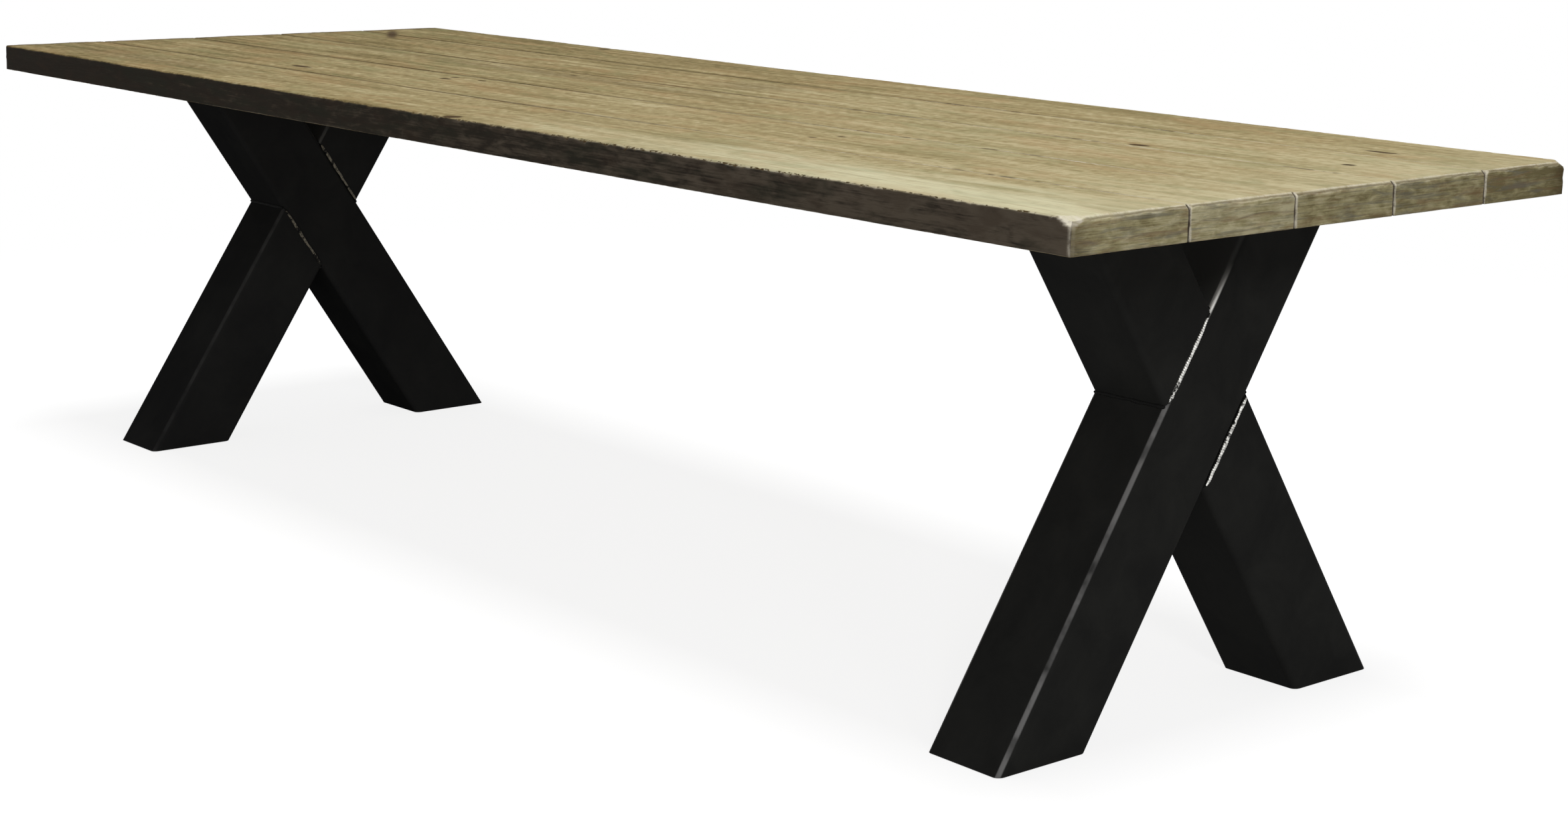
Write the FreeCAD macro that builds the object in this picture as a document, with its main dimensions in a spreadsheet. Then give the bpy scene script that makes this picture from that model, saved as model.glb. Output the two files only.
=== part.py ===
import FreeCAD, Part
import math
import os
import re

import Sketcher

# A long plank table on two crossed steel leg frames, in millimetres.
# The origin is on the floor under the middle of the table. X runs along the length, Y across it
# from front to back and Z up.

# Driving sizes, one cell each.
SIZES = {
    # Wooden top.
    "table_height": 780,
    "top_length": 2950,
    "top_thickness": 48,
    "front_plank_width": 208,
    "front_inner_plank_width": 200,
    "middle_plank_width": 201,
    "back_inner_plank_width": 199,
    "back_plank_width": 190,
    "seam_gap": 0.5,
    "seam_bevel": 2.5,
    "long_edge_bevel": 3,
    "end_bevel": 4,
    "upright_bevel": 5,
    "corner_cut": 19,
    # Loose tongues between the planks.
    "tongue_width": 36,
    "tongue_thickness": 12,
    "tongue_setback": 90,
    "tongue_clearance": 0.2,
    # Square tube of the crossed legs.
    "tube_size": 140,
    "tube_wall": 5,
    "foot_spread": 771,
    "arm_spread": 512,
    "frame_setback": 283,
    # Feet.
    "foot_plate_thickness": 6,
    "foot_plate_clearance": 0.2,
    "glide_thickness": 3,
    "glide_proud": 1,
    "glide_clearance": 3,
    # Plate between legs and planks.
    "plate_thickness": 8,
    "plate_setback": 80,
    "plate_corner_radius": 10,
    "plate_margin": 20,
    "spanner_room": 2,
    "screw_edge": 35,
    # Coach screws and washers of the plates.
    "plate_screw_diameter": 8,
    "plate_screw_cover": 13,
    "plate_screw_flats": 13,
    "plate_screw_head": 5.5,
    "plate_screw_point": 8,
    "plate_slot_travel": 11,
    "plate_washer_diameter": 24,
    "plate_washer_thickness": 2,
    # Stiffening channel let into the underside.
    "channel_width": 40,
    "channel_depth": 14,
    "channel_wall": 4,
    "channel_setback": 80,
    "channel_clearance": 0.3,
    # Screws and washers of the channel.
    "channel_screw_diameter": 6,
    "channel_screw_cover": 10,
    "channel_screw_flats": 10,
    "channel_screw_head": 4,
    "channel_screw_point": 6,
    "channel_slot_travel": 7,
    "channel_washer_diameter": 18,
    "channel_washer_thickness": 1.6,
    # Room around every screw, in its hole and washer, and in its slot.
    "screw_clearance": 0.2,
    "slot_clearance": 0.5,
    # Weld beads.
    "weld_leg": 6,
    "weld_overlap": 3,
    "weld_crown": 2,
    # How far cutting shapes reach past what they cut.
    "overrun": 5,
}

# Planks from the front, each with its width's alias.
PLANKS = ["front_plank", "front_inner_plank", "middle_plank", "back_inner_plank", "back_plank"]
TONGUES = ["front_tongue", "front_inner_tongue", "back_inner_tongue", "back_tongue"]

# Places worked out from the sizes.
LAYOUT = {
    "top_width": " + ".join(f"{plank}_width" for plank in PLANKS) + f" + {len(TONGUES)} * seam_gap",
    "wood_base": "table_height - top_thickness",
    "arm_seat": "wood_base - plate_thickness",
    "leg_rise": "arm_seat - glide_proud",
    "leg_reach": "(foot_spread + arm_spread) / 2",
    "lean": "acos(tube_size / sqrt(leg_reach ^ 2 + leg_rise ^ 2)) - atan2(leg_rise; leg_reach)",
    "cross_height": "glide_proud + (foot_spread - tube_size / cos(lean)) / 2 / tan(lean)",
    "tube_radius": "2 * tube_wall",
    "frame_offset": "top_length / 2 - frame_setback",
    "arm_offset": "(arm_spread - tube_size / cos(lean)) / 2",
    "plate_length": "top_width - 2 * plate_setback",
    "screw_row": "(tube_size + plate_washer_diameter) / 2 + weld_leg + spanner_room",
    "channel_length": "top_width - 2 * channel_setback",
    "tongue_rise": "(channel_depth + top_thickness) / 2",
    "plate_screw_bite": "top_thickness - plate_screw_cover",
    "plate_screw_length": "plate_washer_thickness + plate_thickness + plate_screw_bite",
    "channel_screw_bite": "top_thickness - channel_depth - channel_screw_cover",
    "channel_screw_length": "channel_washer_thickness + channel_wall + channel_screw_bite",
    "seam_length": "(tube_size - 2 * tube_radius) / sin(2 * lean)",
    "seam_shift": "tube_size / tan(2 * lean)",
}

# Angle round the tube's corner where a seam bead's toe lies, and the share of the bead's width at
# which its crown is highest.
TOE_ANGLE = 70
CROWN_SHARE = 0.45

# Turn that tips an upright axis onto the diagonal of a cube.
CUBE_DIAGONAL_TILT = math.degrees(math.acos(1 / math.sqrt(3)))

AXIS_X = FreeCAD.Vector(1, 0, 0)
AXIS_Y = FreeCAD.Vector(0, 1, 0)
AXIS_Z = FreeCAD.Vector(0, 0, 1)
HALF_TURNS = {
    "none": FreeCAD.Rotation(),
    "x": FreeCAD.Rotation(AXIS_X, 180),
    "y": FreeCAD.Rotation(AXIS_Y, 180),
    "z": FreeCAD.Rotation(AXIS_Z, 180),
}

doc = FreeCAD.newDocument("plank_table")

sizes = doc.addObject("Spreadsheet::Sheet", "sizes")
for row, (alias, number) in enumerate(SIZES.items(), start=1):
    sizes.set(f"A{row}", alias)
    sizes.set(f"B{row}", str(number))
    sizes.setAlias(f"B{row}", alias)
doc.recompute()

layout = doc.addObject("App::VarSet", "layout")
owners = {alias: "sizes." for alias in SIZES}
owners.update({name: "layout." for name in LAYOUT})


def bound(text):
    """Expression text in which every size and place is led by the object that holds it."""
    return re.sub(r"[a-z]\w*", lambda word: owners.get(word[0], "") + word[0], text)


for name, text in LAYOUT.items():
    layout.addProperty("App::PropertyFloat", name, "Layout")
    layout.setExpression(name, bound(text))
doc.recompute()

subparts = []


def value(text):
    """Number that an expression gives with the sizes as they stand."""
    return float(layout.evalExpression(bound(text)))


def place(piece, x="0", y="0", z="0", tilt="0"):
    """Bind a piece's place and its turn about X, in degrees."""
    piece.Placement = FreeCAD.Placement(FreeCAD.Vector(), FreeCAD.Rotation(AXIS_X, 1))
    piece.setExpression("Placement.Base.x", bound(x))
    piece.setExpression("Placement.Base.y", bound(y))
    piece.setExpression("Placement.Base.z", bound(z))
    piece.setExpression("Placement.Rotation.Angle", bound(tilt))


def new_body(name):
    """Empty body with a name of its own."""
    body = doc.addObject("PartDesign::Body", name)
    body.Label = name
    return body


def new_sketch(body, role, lift="0"):
    """Sketch on one of the body's own planes, lifted along the plane's normal."""
    plane = next(item for item in body.Origin.OriginFeatures if item.Role == role)
    sketch = body.newObject("Sketcher::SketchObject", f"{body.Name}_sketch")
    sketch.AttachmentSupport = [(plane, "")]
    sketch.MapMode = "FlatFace"
    sketch.setExpression("AttachmentOffset.Base.z", bound(lift))
    return sketch


def limit(sketch, kind, text, *where):
    """Dimension on a sketch that follows an expression."""
    number = sketch.addConstraint(Sketcher.Constraint(kind, *where, value(text)))
    sketch.setExpression(f"Constraints[{number}]", bound(text))


def pin(sketch, edge, end, x, y):
    """Fix one point of an edge by its distances from the sketch's origin."""
    limit(sketch, "DistanceX", x, -1, 1, edge, end)
    limit(sketch, "DistanceY", y, -1, 1, edge, end)


def draw_outline(sketch, points):
    """Closed outline of straight sides through points given as pairs of expressions."""
    first = sketch.GeometryCount
    spots = [FreeCAD.Vector(value(x), value(y), 0) for x, y in points]
    for here, there in zip(spots, spots[1:] + spots[:1]):
        sketch.addGeometry(Part.LineSegment(here, there))
    for number, (x, y) in enumerate(points):
        following = first + (number + 1) % len(points)
        sketch.addConstraint(Sketcher.Constraint("Coincident", first + number, 2, following, 1))
        pin(sketch, first + number, 1, x, y)


def draw_rounds(sketch, centres, radius, turn):
    """Closed outline of equal arcs about the given centres, joined by straight tangent sides."""
    first = sketch.GeometryCount
    count = len(centres)
    start = 0
    for x, y in centres:
        circle = Part.Circle(FreeCAD.Vector(value(x), value(y), 0), AXIS_Z, value(radius))
        sketch.addGeometry(Part.ArcOfCircle(circle, start, start + turn))
        start += turn
    arcs = [sketch.Geometry[first + number] for number in range(count)]
    for here, there in zip(arcs, arcs[1:] + arcs[:1]):
        sketch.addGeometry(Part.LineSegment(here.EndPoint, there.StartPoint))
    for number, (x, y) in enumerate(centres):
        arc = first + number
        side = first + count + number
        following = first + (number + 1) % count
        sketch.addConstraint(Sketcher.Constraint("Tangent", arc, 2, side, 1))
        sketch.addConstraint(Sketcher.Constraint("Tangent", side, 2, following, 1))
        pin(sketch, arc, 3, x, y)
        limit(sketch, "Radius", radius, arc)


def draw_rounded(sketch, length, width, radius):
    """Rectangle about the sketch's origin with round corners."""
    x = f"(({length}) / 2 - {radius})"
    y = f"(({width}) / 2 - {radius})"
    centres = [(x, y), (f"-{x}", y), (f"-{x}", f"-{y}"), (x, f"-{y}")]
    draw_rounds(sketch, centres, radius, math.pi / 2)


def draw_slot(sketch, x, y, kind):
    """Slot with round ends along the sketch's second axis, in which a screw can travel."""
    half = f"{kind}_slot_travel / 2"
    radius = f"({kind}_screw_diameter / 2 + slot_clearance)"
    draw_rounds(sketch, [(x, f"{y} + {half}"), (x, f"{y} - {half}")], radius, math.pi)


def draw_circle(sketch, x, y, radius):
    """Circle about a given centre."""
    spot = FreeCAD.Vector(value(x), value(y), 0)
    edge = sketch.addGeometry(Part.Circle(spot, AXIS_Z, value(radius)))
    pin(sketch, edge, 3, x, y)
    limit(sketch, "Radius", radius, edge)


def pad(body, sketch, length, symmetric=False, reverse=False):
    """Raise a sketch into a solid."""
    feature = body.newObject("PartDesign::Pad", f"{body.Name}_pad")
    feature.Profile = sketch
    feature.SideType = "Symmetric" if symmetric else "One side"
    feature.Reversed = reverse
    feature.setExpression("Length", bound(length))


def cut_through(body, sketch):
    """Cut a sketch right through the body, both ways."""
    feature = body.newObject("PartDesign::Pocket", f"{body.Name}_cut")
    feature.Profile = sketch
    feature.SideType = "Symmetric"
    feature.Type = "ThroughAll"


def cut_up(body, sketch, depth):
    """Cut a sketch upwards into the body to a depth."""
    feature = body.newObject("PartDesign::Pocket", f"{body.Name}_cut")
    feature.Profile = sketch
    feature.Reversed = True
    feature.setExpression("Length", bound(depth))


def cut_both_ways(body, sketch, depth):
    """Cut a sketch half its depth to each side of its plane."""
    feature = body.newObject("PartDesign::Pocket", f"{body.Name}_cut")
    feature.Profile = sketch
    feature.SideType = "Symmetric"
    feature.setExpression("Length", bound(depth))


def group(name, members):
    """Sub-part made of several separate solids, each a copy of a body with its own turn and place."""
    copies = []
    for body, turn, spot in members:
        copy = doc.addObject("App::Link", f"{name}_copy")
        copy.LinkedObject = body
        copy.Placement = FreeCAD.Placement(FreeCAD.Vector(), HALF_TURNS[turn])
        for axis, text in zip("xyz", spot):
            copy.setExpression(f"Placement.Base.{axis}", bound(text))
        copies.append(copy)
    whole = doc.addObject("Part::Compound", name)
    whole.Label = name
    whole.Links = copies
    subparts.append(whole)
    return whole


def plank_centre(index):
    """Distance of a plank's middle line from the table's middle line."""
    before = "".join(f" + {plank}_width + seam_gap" for plank in PLANKS[:index])
    return f"(-top_width / 2{before} + {PLANKS[index]}_width / 2)"


def screw_line(index, carrier_length):
    """Where the screws of a plank lie across the table: mid-plank, or near the carrier's ends."""
    if index == 0:
        return f"(screw_edge - {carrier_length} / 2)"
    if index == len(PLANKS) - 1:
        return f"({carrier_length} / 2 - screw_edge)"
    return plank_centre(index)


def corner_triangle(along, across, size, along_way, across_way):
    """Triangle that takes a bevel off a corner, reaching past it by the overrun."""
    near_x = f"{along_way} * ({along} - {size} - overrun)"
    far_x = f"{along_way} * ({along} + overrun)"
    near_y = f"{across_way} * ({across} - {size} - overrun)"
    far_y = f"{across_way} * ({across} + overrun)"
    return [(near_x, far_y), (far_x, near_y), (far_x, far_y)]


def make_plank(index):
    """Plank with bevelled edges, grooves for its tongues, and holes and a groove in its underside."""
    body = new_body(PLANKS[index])
    centre = plank_centre(index)
    width = f"{PLANKS[index]}_width"
    outer_ways = {0: [-1], len(PLANKS) - 1: [1]}.get(index, [])
    front_bevel = "long_edge_bevel" if -1 in outer_ways else "seam_bevel"
    back_bevel = "long_edge_bevel" if 1 in outer_ways else "seam_bevel"

    section = new_sketch(body, "YZ_Plane")
    draw_outline(section, [
        (f"-{width} / 2", "0"),
        (f"{width} / 2", "0"),
        (f"{width} / 2", f"top_thickness - {back_bevel}"),
        (f"{width} / 2 - {back_bevel}", "top_thickness"),
        (f"-{width} / 2 + {front_bevel}", "top_thickness"),
        (f"-{width} / 2", f"top_thickness - {front_bevel}"),
    ])
    pad(body, section, "top_length", symmetric=True)

    ends = new_sketch(body, "XZ_Plane")
    for way in (-1, 1):
        draw_outline(ends, corner_triangle("top_length / 2", "top_thickness", "end_bevel", way, 1))
    cut_through(body, ends)

    uprights = new_sketch(body, "XY_Plane")
    for along_way in (-1, 1):
        for across_way in (-1, 1):
            triangle = corner_triangle(
                "top_length / 2", f"{width} / 2", "upright_bevel", along_way, across_way)
            draw_outline(uprights, triangle)
    cut_through(body, uprights)

    for across_way in outer_ways:
        for along_way in (-1, 1):
            cut_corner(body, width, along_way, across_way)

    for across_way in (-1, 1):
        if across_way not in outer_ways:
            cut_groove(body, width, across_way)

    channel_half = "(channel_length / 2 + channel_clearance)"
    channel_side = "(channel_width / 2 + channel_clearance)"
    trench = new_sketch(body, "XY_Plane")
    draw_outline(trench, [
        (f"-{channel_side}", f"-{channel_half} - {centre}"),
        (channel_side, f"-{channel_half} - {centre}"),
        (channel_side, f"{channel_half} - {centre}"),
        (f"-{channel_side}", f"{channel_half} - {centre}"),
    ])
    cut_up(body, trench, "channel_depth")

    plate_holes = new_sketch(body, "XY_Plane")
    for frame_way in (-1, 1):
        for row_way in (-1, 1):
            draw_circle(
                plate_holes,
                f"{frame_way} * frame_offset + {row_way} * screw_row",
                f"{screw_line(index, 'plate_length')} - {centre}",
                "plate_screw_diameter / 2 + screw_clearance")
    cut_up(body, plate_holes, "plate_screw_bite + screw_clearance")

    channel_hole = new_sketch(body, "XY_Plane", lift="channel_depth")
    draw_circle(
        channel_hole,
        "0",
        f"{screw_line(index, 'channel_length')} - {centre}",
        "channel_screw_diameter / 2 + screw_clearance")
    cut_up(body, channel_hole, "channel_screw_bite + screw_clearance")

    place(body, y=centre, z="wood_base")
    subparts.append(body)


def cut_corner(body, width, along_way, across_way):
    """Knock off an outer corner of the top along a plane that meets its three edges alike."""
    cutter = body.newObject("PartDesign::SubtractiveCylinder", f"{body.Name}_corner")
    tilt = FreeCAD.Rotation(FreeCAD.Vector(-across_way, along_way, 0), CUBE_DIAGONAL_TILT)
    cutter.Placement = FreeCAD.Placement(FreeCAD.Vector(), tilt)
    cutter.setExpression("Radius", bound("corner_cut"))
    cutter.setExpression("Height", bound("corner_cut"))
    cutter.setExpression("Placement.Base.x", bound(f"{along_way} * (top_length / 2 - corner_cut / 3)"))
    cutter.setExpression("Placement.Base.y", bound(f"{across_way} * ({width} / 2 - corner_cut / 3)"))
    cutter.setExpression("Placement.Base.z", bound("top_thickness - corner_cut / 3"))


def cut_groove(body, width, across_way):
    """Groove for a loose tongue in one long side, stopped short of both ends."""
    reach = "(top_length / 2 - tongue_setback + tongue_clearance)"
    floor = f"({width} / 2 - (tongue_width - seam_gap) / 2 - tongue_clearance)"
    mouth = f"({width} / 2 + overrun)"
    groove = new_sketch(body, "XY_Plane", lift="tongue_rise")
    draw_outline(groove, [
        (f"-{reach}", f"{across_way} * {floor}"),
        (reach, f"{across_way} * {floor}"),
        (reach, f"{across_way} * {mouth}"),
        (f"-{reach}", f"{across_way} * {mouth}"),
    ])
    cut_both_ways(body, groove, "tongue_thickness + 2 * tongue_clearance")


def make_tongue(index):
    """Loose tongue that keeps two neighbouring planks level."""
    body = new_body(TONGUES[index])
    outline = new_sketch(body, "XY_Plane")
    draw_outline(outline, [
        ("tongue_setback - top_length / 2", "-tongue_width / 2"),
        ("top_length / 2 - tongue_setback", "-tongue_width / 2"),
        ("top_length / 2 - tongue_setback", "tongue_width / 2"),
        ("tongue_setback - top_length / 2", "tongue_width / 2"),
    ])
    pad(body, outline, "tongue_thickness", symmetric=True)
    seam = f"{plank_centre(index)} + ({PLANKS[index]}_width + seam_gap) / 2"
    place(body, y=seam, z="wood_base + tongue_rise")
    subparts.append(body)


def make_channel():
    """Steel channel across the underside at mid-length, its web against the wood."""
    body = new_body("stiffener_channel")
    side = "(channel_width / 2)"
    inside = "(channel_width / 2 - channel_wall)"
    web = "channel_depth - channel_wall"
    section = new_sketch(body, "XZ_Plane")
    draw_outline(section, [
        (f"-{side}", "0"),
        (f"-{inside}", "0"),
        (f"-{inside}", web),
        (inside, web),
        (inside, "0"),
        (side, "0"),
        (side, "channel_depth"),
        (f"-{side}", "channel_depth"),
    ])
    pad(body, section, "channel_length", symmetric=True)
    slots = new_sketch(body, "XY_Plane", lift="channel_depth")
    for index in range(len(PLANKS)):
        line = screw_line(index, "channel_length")
        draw_slot(slots, "0", line, "channel")
    cut_through(body, slots)
    place(body, z="wood_base")
    subparts.append(body)


def make_screw(kind):
    """Coach screw that points up: six-sided head below its bearing face, shank and point above."""
    body = new_body(f"{kind}_screw")
    head = new_sketch(body, "XY_Plane")
    corner = f"{kind}_screw_flats / 2 / cos(30)"
    turns = range(0, 360, 60)
    draw_outline(head, [(f"{corner} * cos({turn})", f"{corner} * sin({turn})") for turn in turns])
    pad(body, head, f"{kind}_screw_head", reverse=True)
    shank = new_sketch(body, "XZ_Plane")
    draw_outline(shank, [
        ("0", "0"),
        (f"{kind}_screw_diameter / 2", "0"),
        (f"{kind}_screw_diameter / 2", f"{kind}_screw_length - {kind}_screw_point"),
        ("0", f"{kind}_screw_length"),
    ])
    turned = body.newObject("PartDesign::Revolution", f"{body.Name}_turned")
    turned.Profile = shank
    turned.ReferenceAxis = (shank, ["V_Axis"])
    return body


def make_washer(kind):
    """Flat washer that lies on its screw's bearing face."""
    body = new_body(f"{kind}_washer")
    ring = new_sketch(body, "XY_Plane")
    draw_circle(ring, "0", "0", f"{kind}_washer_diameter / 2")
    draw_circle(ring, "0", "0", f"{kind}_screw_diameter / 2 + screw_clearance")
    pad(body, ring, f"{kind}_washer_thickness")
    return body


def level_line(height, way):
    """Line where a leg's own axes meet a level height: its height on the leg's axis, and its slope."""
    return f"({height} - cross_height) / cos(lean)", f"{way} * tan(lean)"


def side_line(end, way):
    """Line where a short tube meets a side of the long tube, in the short tube's own axes."""
    return f"{end} * tube_size / 2 / sin(2 * lean)", f"{way} / tan(2 * lean)"


def make_leg_bar(name, frame_way, tilt_way, low, high, draw_section):
    """Bar along a leg's axis, sawn at both ends along lines given by height and slope."""
    body = new_body(name)
    reach = "(tube_size / 2 + overrun)"
    low_height, low_slope = low
    high_height, high_slope = high
    bottom = f"({low_height} - abs({low_slope}) * {reach} - overrun)"
    top = f"({high_height} + abs({high_slope}) * {reach} + overrun)"

    section = new_sketch(body, "XY_Plane", lift=bottom)
    draw_section(section)
    pad(body, section, f"{top} - {bottom}")

    saw = new_sketch(body, "YZ_Plane")
    for height, slope, end in ((low_height, low_slope, f"{bottom} - overrun"),
                               (high_height, high_slope, f"{top} + overrun")):
        draw_outline(saw, [
            (f"-{reach}", f"{height} - {slope} * {reach}"),
            (reach, f"{height} + {slope} * {reach}"),
            (reach, end),
            (f"-{reach}", end),
        ])
    cut_through(body, saw)
    place(body, x=f"{frame_way} * frame_offset", z="cross_height", tilt=f"{tilt_way} * lean")
    subparts.append(body)


def draw_tube(sketch):
    """Section of the square tube."""
    draw_rounded(sketch, "tube_size", "tube_size", "tube_radius")
    draw_rounded(sketch, "tube_size - 2 * tube_wall", "tube_size - 2 * tube_wall", "tube_wall")


def draw_tube_filling(sketch):
    """Section that fills the tube's bore with a little room to spare."""
    inside = "tube_size - 2 * tube_wall - 2 * foot_plate_clearance"
    draw_rounded(sketch, inside, inside, "tube_wall")


def make_glide(name, frame_way, foot_way):
    """Glide pad under a foot, set into the tube's mouth and standing a little proud of it."""
    body = new_body(name)
    mouth = "(tube_size - 2 * tube_wall)"
    length = f"{mouth} - 2 * glide_clearance"
    width = f"{mouth} / cos(lean) - 2 * glide_clearance"
    outline = new_sketch(body, "XY_Plane")
    draw_rounded(outline, length, width, "tube_wall")
    pad(body, outline, "glide_thickness")
    middle = "(glide_thickness + glide_proud) / 2"
    place(body, x=f"{frame_way} * frame_offset", y=f"{foot_way} * (cross_height - {middle}) * tan(lean)")
    subparts.append(body)


def make_top_plate(name, frame_way):
    """Plate on the arms of a frame, slotted across the table so that the planks can move."""
    body = new_body(name)
    outline = new_sketch(body, "XY_Plane")
    draw_rounded(outline, "2 * (screw_row + plate_margin)", "plate_length", "plate_corner_radius")
    pad(body, outline, "plate_thickness")
    slots = new_sketch(body, "XY_Plane")
    for row_way in (-1, 1):
        for index in range(len(PLANKS)):
            line = screw_line(index, "plate_length")
            draw_slot(slots, f"{row_way} * screw_row", line, "plate")
    cut_through(body, slots)
    place(body, x=f"{frame_way} * frame_offset", z="arm_seat")
    subparts.append(body)


def make_seam_bead():
    """Bead in the groove between the long tube's rounded corner and a short tube's sawn end."""
    body = new_body("seam_bead")
    face = "tube_size / 2"
    middle_x = "(tube_size / 2 - tube_radius)"
    middle_y = "(tube_radius - tube_size / 2)"
    toe_x = f"{middle_x} + tube_radius * sin({TOE_ANGLE})"
    toe_y = f"{middle_y} - tube_radius * cos({TOE_ANGLE})"
    far_y = f"-{face} - weld_overlap"
    crown_y = f"({toe_y}) + {CROWN_SHARE} * ({far_y} - ({toe_y}))"
    root_x = f"{face} - tube_wall"
    root_turn = "asin((tube_radius - tube_wall) / tube_radius)"

    bead = new_sketch(body, "XY_Plane", lift="(seam_shift - seam_length) / 2")
    middle = FreeCAD.Vector(value(middle_x), value(middle_y), 0)
    circle = Part.Circle(middle, AXIS_Z, value("tube_radius"))
    start = math.radians(value(root_turn) - 90)
    bead.addGeometry(Part.ArcOfCircle(circle, start, math.radians(TOE_ANGLE - 90)))
    corners = [
        (f"{face} + weld_crown", crown_y),
        (face, far_y),
        (face, f"-{face}"),
        (root_x, f"-{face}"),
    ]
    arc = bead.Geometry[0]
    spots = [FreeCAD.Vector(value(x), value(y), 0) for x, y in corners]
    spots = [arc.EndPoint] + spots + [arc.StartPoint]
    for here, there in zip(spots, spots[1:]):
        bead.addGeometry(Part.LineSegment(here, there))
    count = len(spots)
    for edge in range(count):
        bead.addConstraint(Sketcher.Constraint("Coincident", edge, 2, (edge + 1) % count, 1))
    pin(bead, 0, 3, middle_x, middle_y)
    limit(bead, "Radius", "tube_radius", 0)
    limit(bead, "DistanceX", root_x, -1, 1, 0, 1)
    limit(bead, "DistanceX", toe_x, -1, 1, 0, 2)
    for edge, (x, y) in enumerate(corners, start=2):
        pin(bead, edge, 1, x, y)
    pad(body, bead, "seam_length")
    return body


def make_fillet_bead(name, corner, first_way, second_way):
    """Bead along X in a corner between two flat faces, drawn from the corner along both faces."""
    body = new_body(name)
    y, z = corner
    bead = new_sketch(body, "YZ_Plane")
    draw_outline(bead, [(y, z)] + [(f"{y} + weld_leg * ({way_y})", f"{z} + weld_leg * ({way_z})")
                                   for way_y, way_z in (first_way, second_way)])
    pad(body, bead, "tube_size - 2 * tube_radius", symmetric=True)
    return body


def make_arm_side_bead():
    """Bead across the table between the face of an arm and the plate above it."""
    body = new_body("arm_side_bead")
    bead = new_sketch(body, "XZ_Plane")
    draw_outline(bead, [
        ("tube_size / 2", "0"),
        ("tube_size / 2 + weld_leg", "0"),
        ("tube_size / 2", "-weld_leg"),
    ])
    pad(body, bead, "(tube_size - 2 * tube_radius) / cos(lean) - 2 * weld_leg * tan(lean)", symmetric=True)
    return body


def make_frame(side, way, beads, screw, washer):
    """One crossed leg frame. The left frame is the right one turned half round."""
    long_foot, short_foot = ("front", "back") if way > 0 else ("back", "front")

    make_leg_bar(f"{side}_long_tube", way, -way, level_line("glide_proud", way),
                 level_line("arm_seat", way), draw_tube)
    make_leg_bar(f"{side}_upper_tube", way, way, side_line(1, way),
                 level_line("arm_seat", -way), draw_tube)
    make_leg_bar(f"{side}_lower_tube", way, way, level_line("glide_proud", -way),
                 side_line(-1, way), draw_tube)

    plate_top = "(glide_thickness + foot_plate_thickness)"
    for foot, tilt_way in ((long_foot, -way), (short_foot, way)):
        make_leg_bar(f"{side}_{foot}_foot_plate", way, tilt_way, level_line("glide_thickness", -tilt_way),
                     level_line(plate_top, -tilt_way), draw_tube_filling)
        make_glide(f"{side}_{foot}_glide", way, tilt_way)

    make_top_plate(f"{side}_top_plate", way)

    here = ("0", "0", "0")
    above = ("0", "0", "seam_shift")
    below = ("0", "0", "-seam_shift")
    if way > 0:
        seam_turns = [("none", here), ("y", above), ("x", here), ("z", below)]
        corner_turns = ["none", "x"]
    else:
        seam_turns = [("z", here), ("x", above), ("y", here), ("none", below)]
        corner_turns = ["z", "y"]
    members = [(beads["seam"], turn, spot) for turn, spot in seam_turns]
    members += [(beads[kind], turn, here) for kind in ("vee", "notch") for turn in corner_turns]
    welds = group(f"{side}_cross_welds", members)
    place(welds, x=f"{way} * frame_offset", z="cross_height", tilt=f"{-way} * lean")

    members = []
    for arm_way, turn in ((1, "none"), (-1, "z")):
        spot = ("0", f"{arm_way} * arm_offset", "0")
        members += [(beads["arm_side"], "none", spot), (beads["arm_side"], "z", spot)]
        members += [(beads["arm_outer"], turn, spot), (beads["arm_inner"], turn, spot)]
    welds = group(f"{side}_plate_welds", members)
    place(welds, x=f"{way} * frame_offset", z="arm_seat")

    spots = [(f"{row_way} * screw_row", screw_line(index, "plate_length"), "0")
             for row_way in (-1, 1) for index in range(len(PLANKS))]
    for name, body in ((f"{side}_coach_screws", screw), (f"{side}_washers", washer)):
        fasteners = group(name, [(body, "none", spot) for spot in spots])
        place(fasteners, x=f"{way} * frame_offset", z="arm_seat - plate_washer_thickness")


def make_channel_fasteners():
    """Screws and washers that hold the stiffening channel, one set in each plank."""
    spots = [("0", screw_line(index, "channel_length"), "0") for index in range(len(PLANKS))]
    bearing = "wood_base + channel_depth - channel_wall - channel_washer_thickness"
    screw = make_screw("channel")
    washer = make_washer("channel")
    for name, body in (("channel_screws", screw), ("channel_washers", washer)):
        fasteners = group(name, [(body, "none", spot) for spot in spots])
        place(fasteners, z=bearing)


def make_beads():
    """One bead of every kind, in the long tube's axes or, for the arms, about the arm's seat."""
    face = "-tube_size / 2"
    half = "tube_size / 2 / sin(2 * lean)"
    stub_way = ("-sin(2 * lean)", "cos(2 * lean)")
    arm_way = ("-sin(lean)", "-cos(lean)")
    arm_half = "tube_size / 2 / cos(lean)"
    return {
        "seam": make_seam_bead(),
        "vee": make_fillet_bead("vee_bead", (face, f"seam_shift / 2 + {half}"), stub_way, ("0", "1")),
        "notch": make_fillet_bead("notch_bead", (face, f"seam_shift / 2 - {half}"), stub_way, ("0", "-1")),
        "arm_side": make_arm_side_bead(),
        "arm_outer": make_fillet_bead("arm_outer_bead", (arm_half, "0"), arm_way, ("1", "0")),
        "arm_inner": make_fillet_bead("arm_inner_bead", (f"-{arm_half}", "0"), arm_way, ("-1", "0")),
    }


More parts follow.
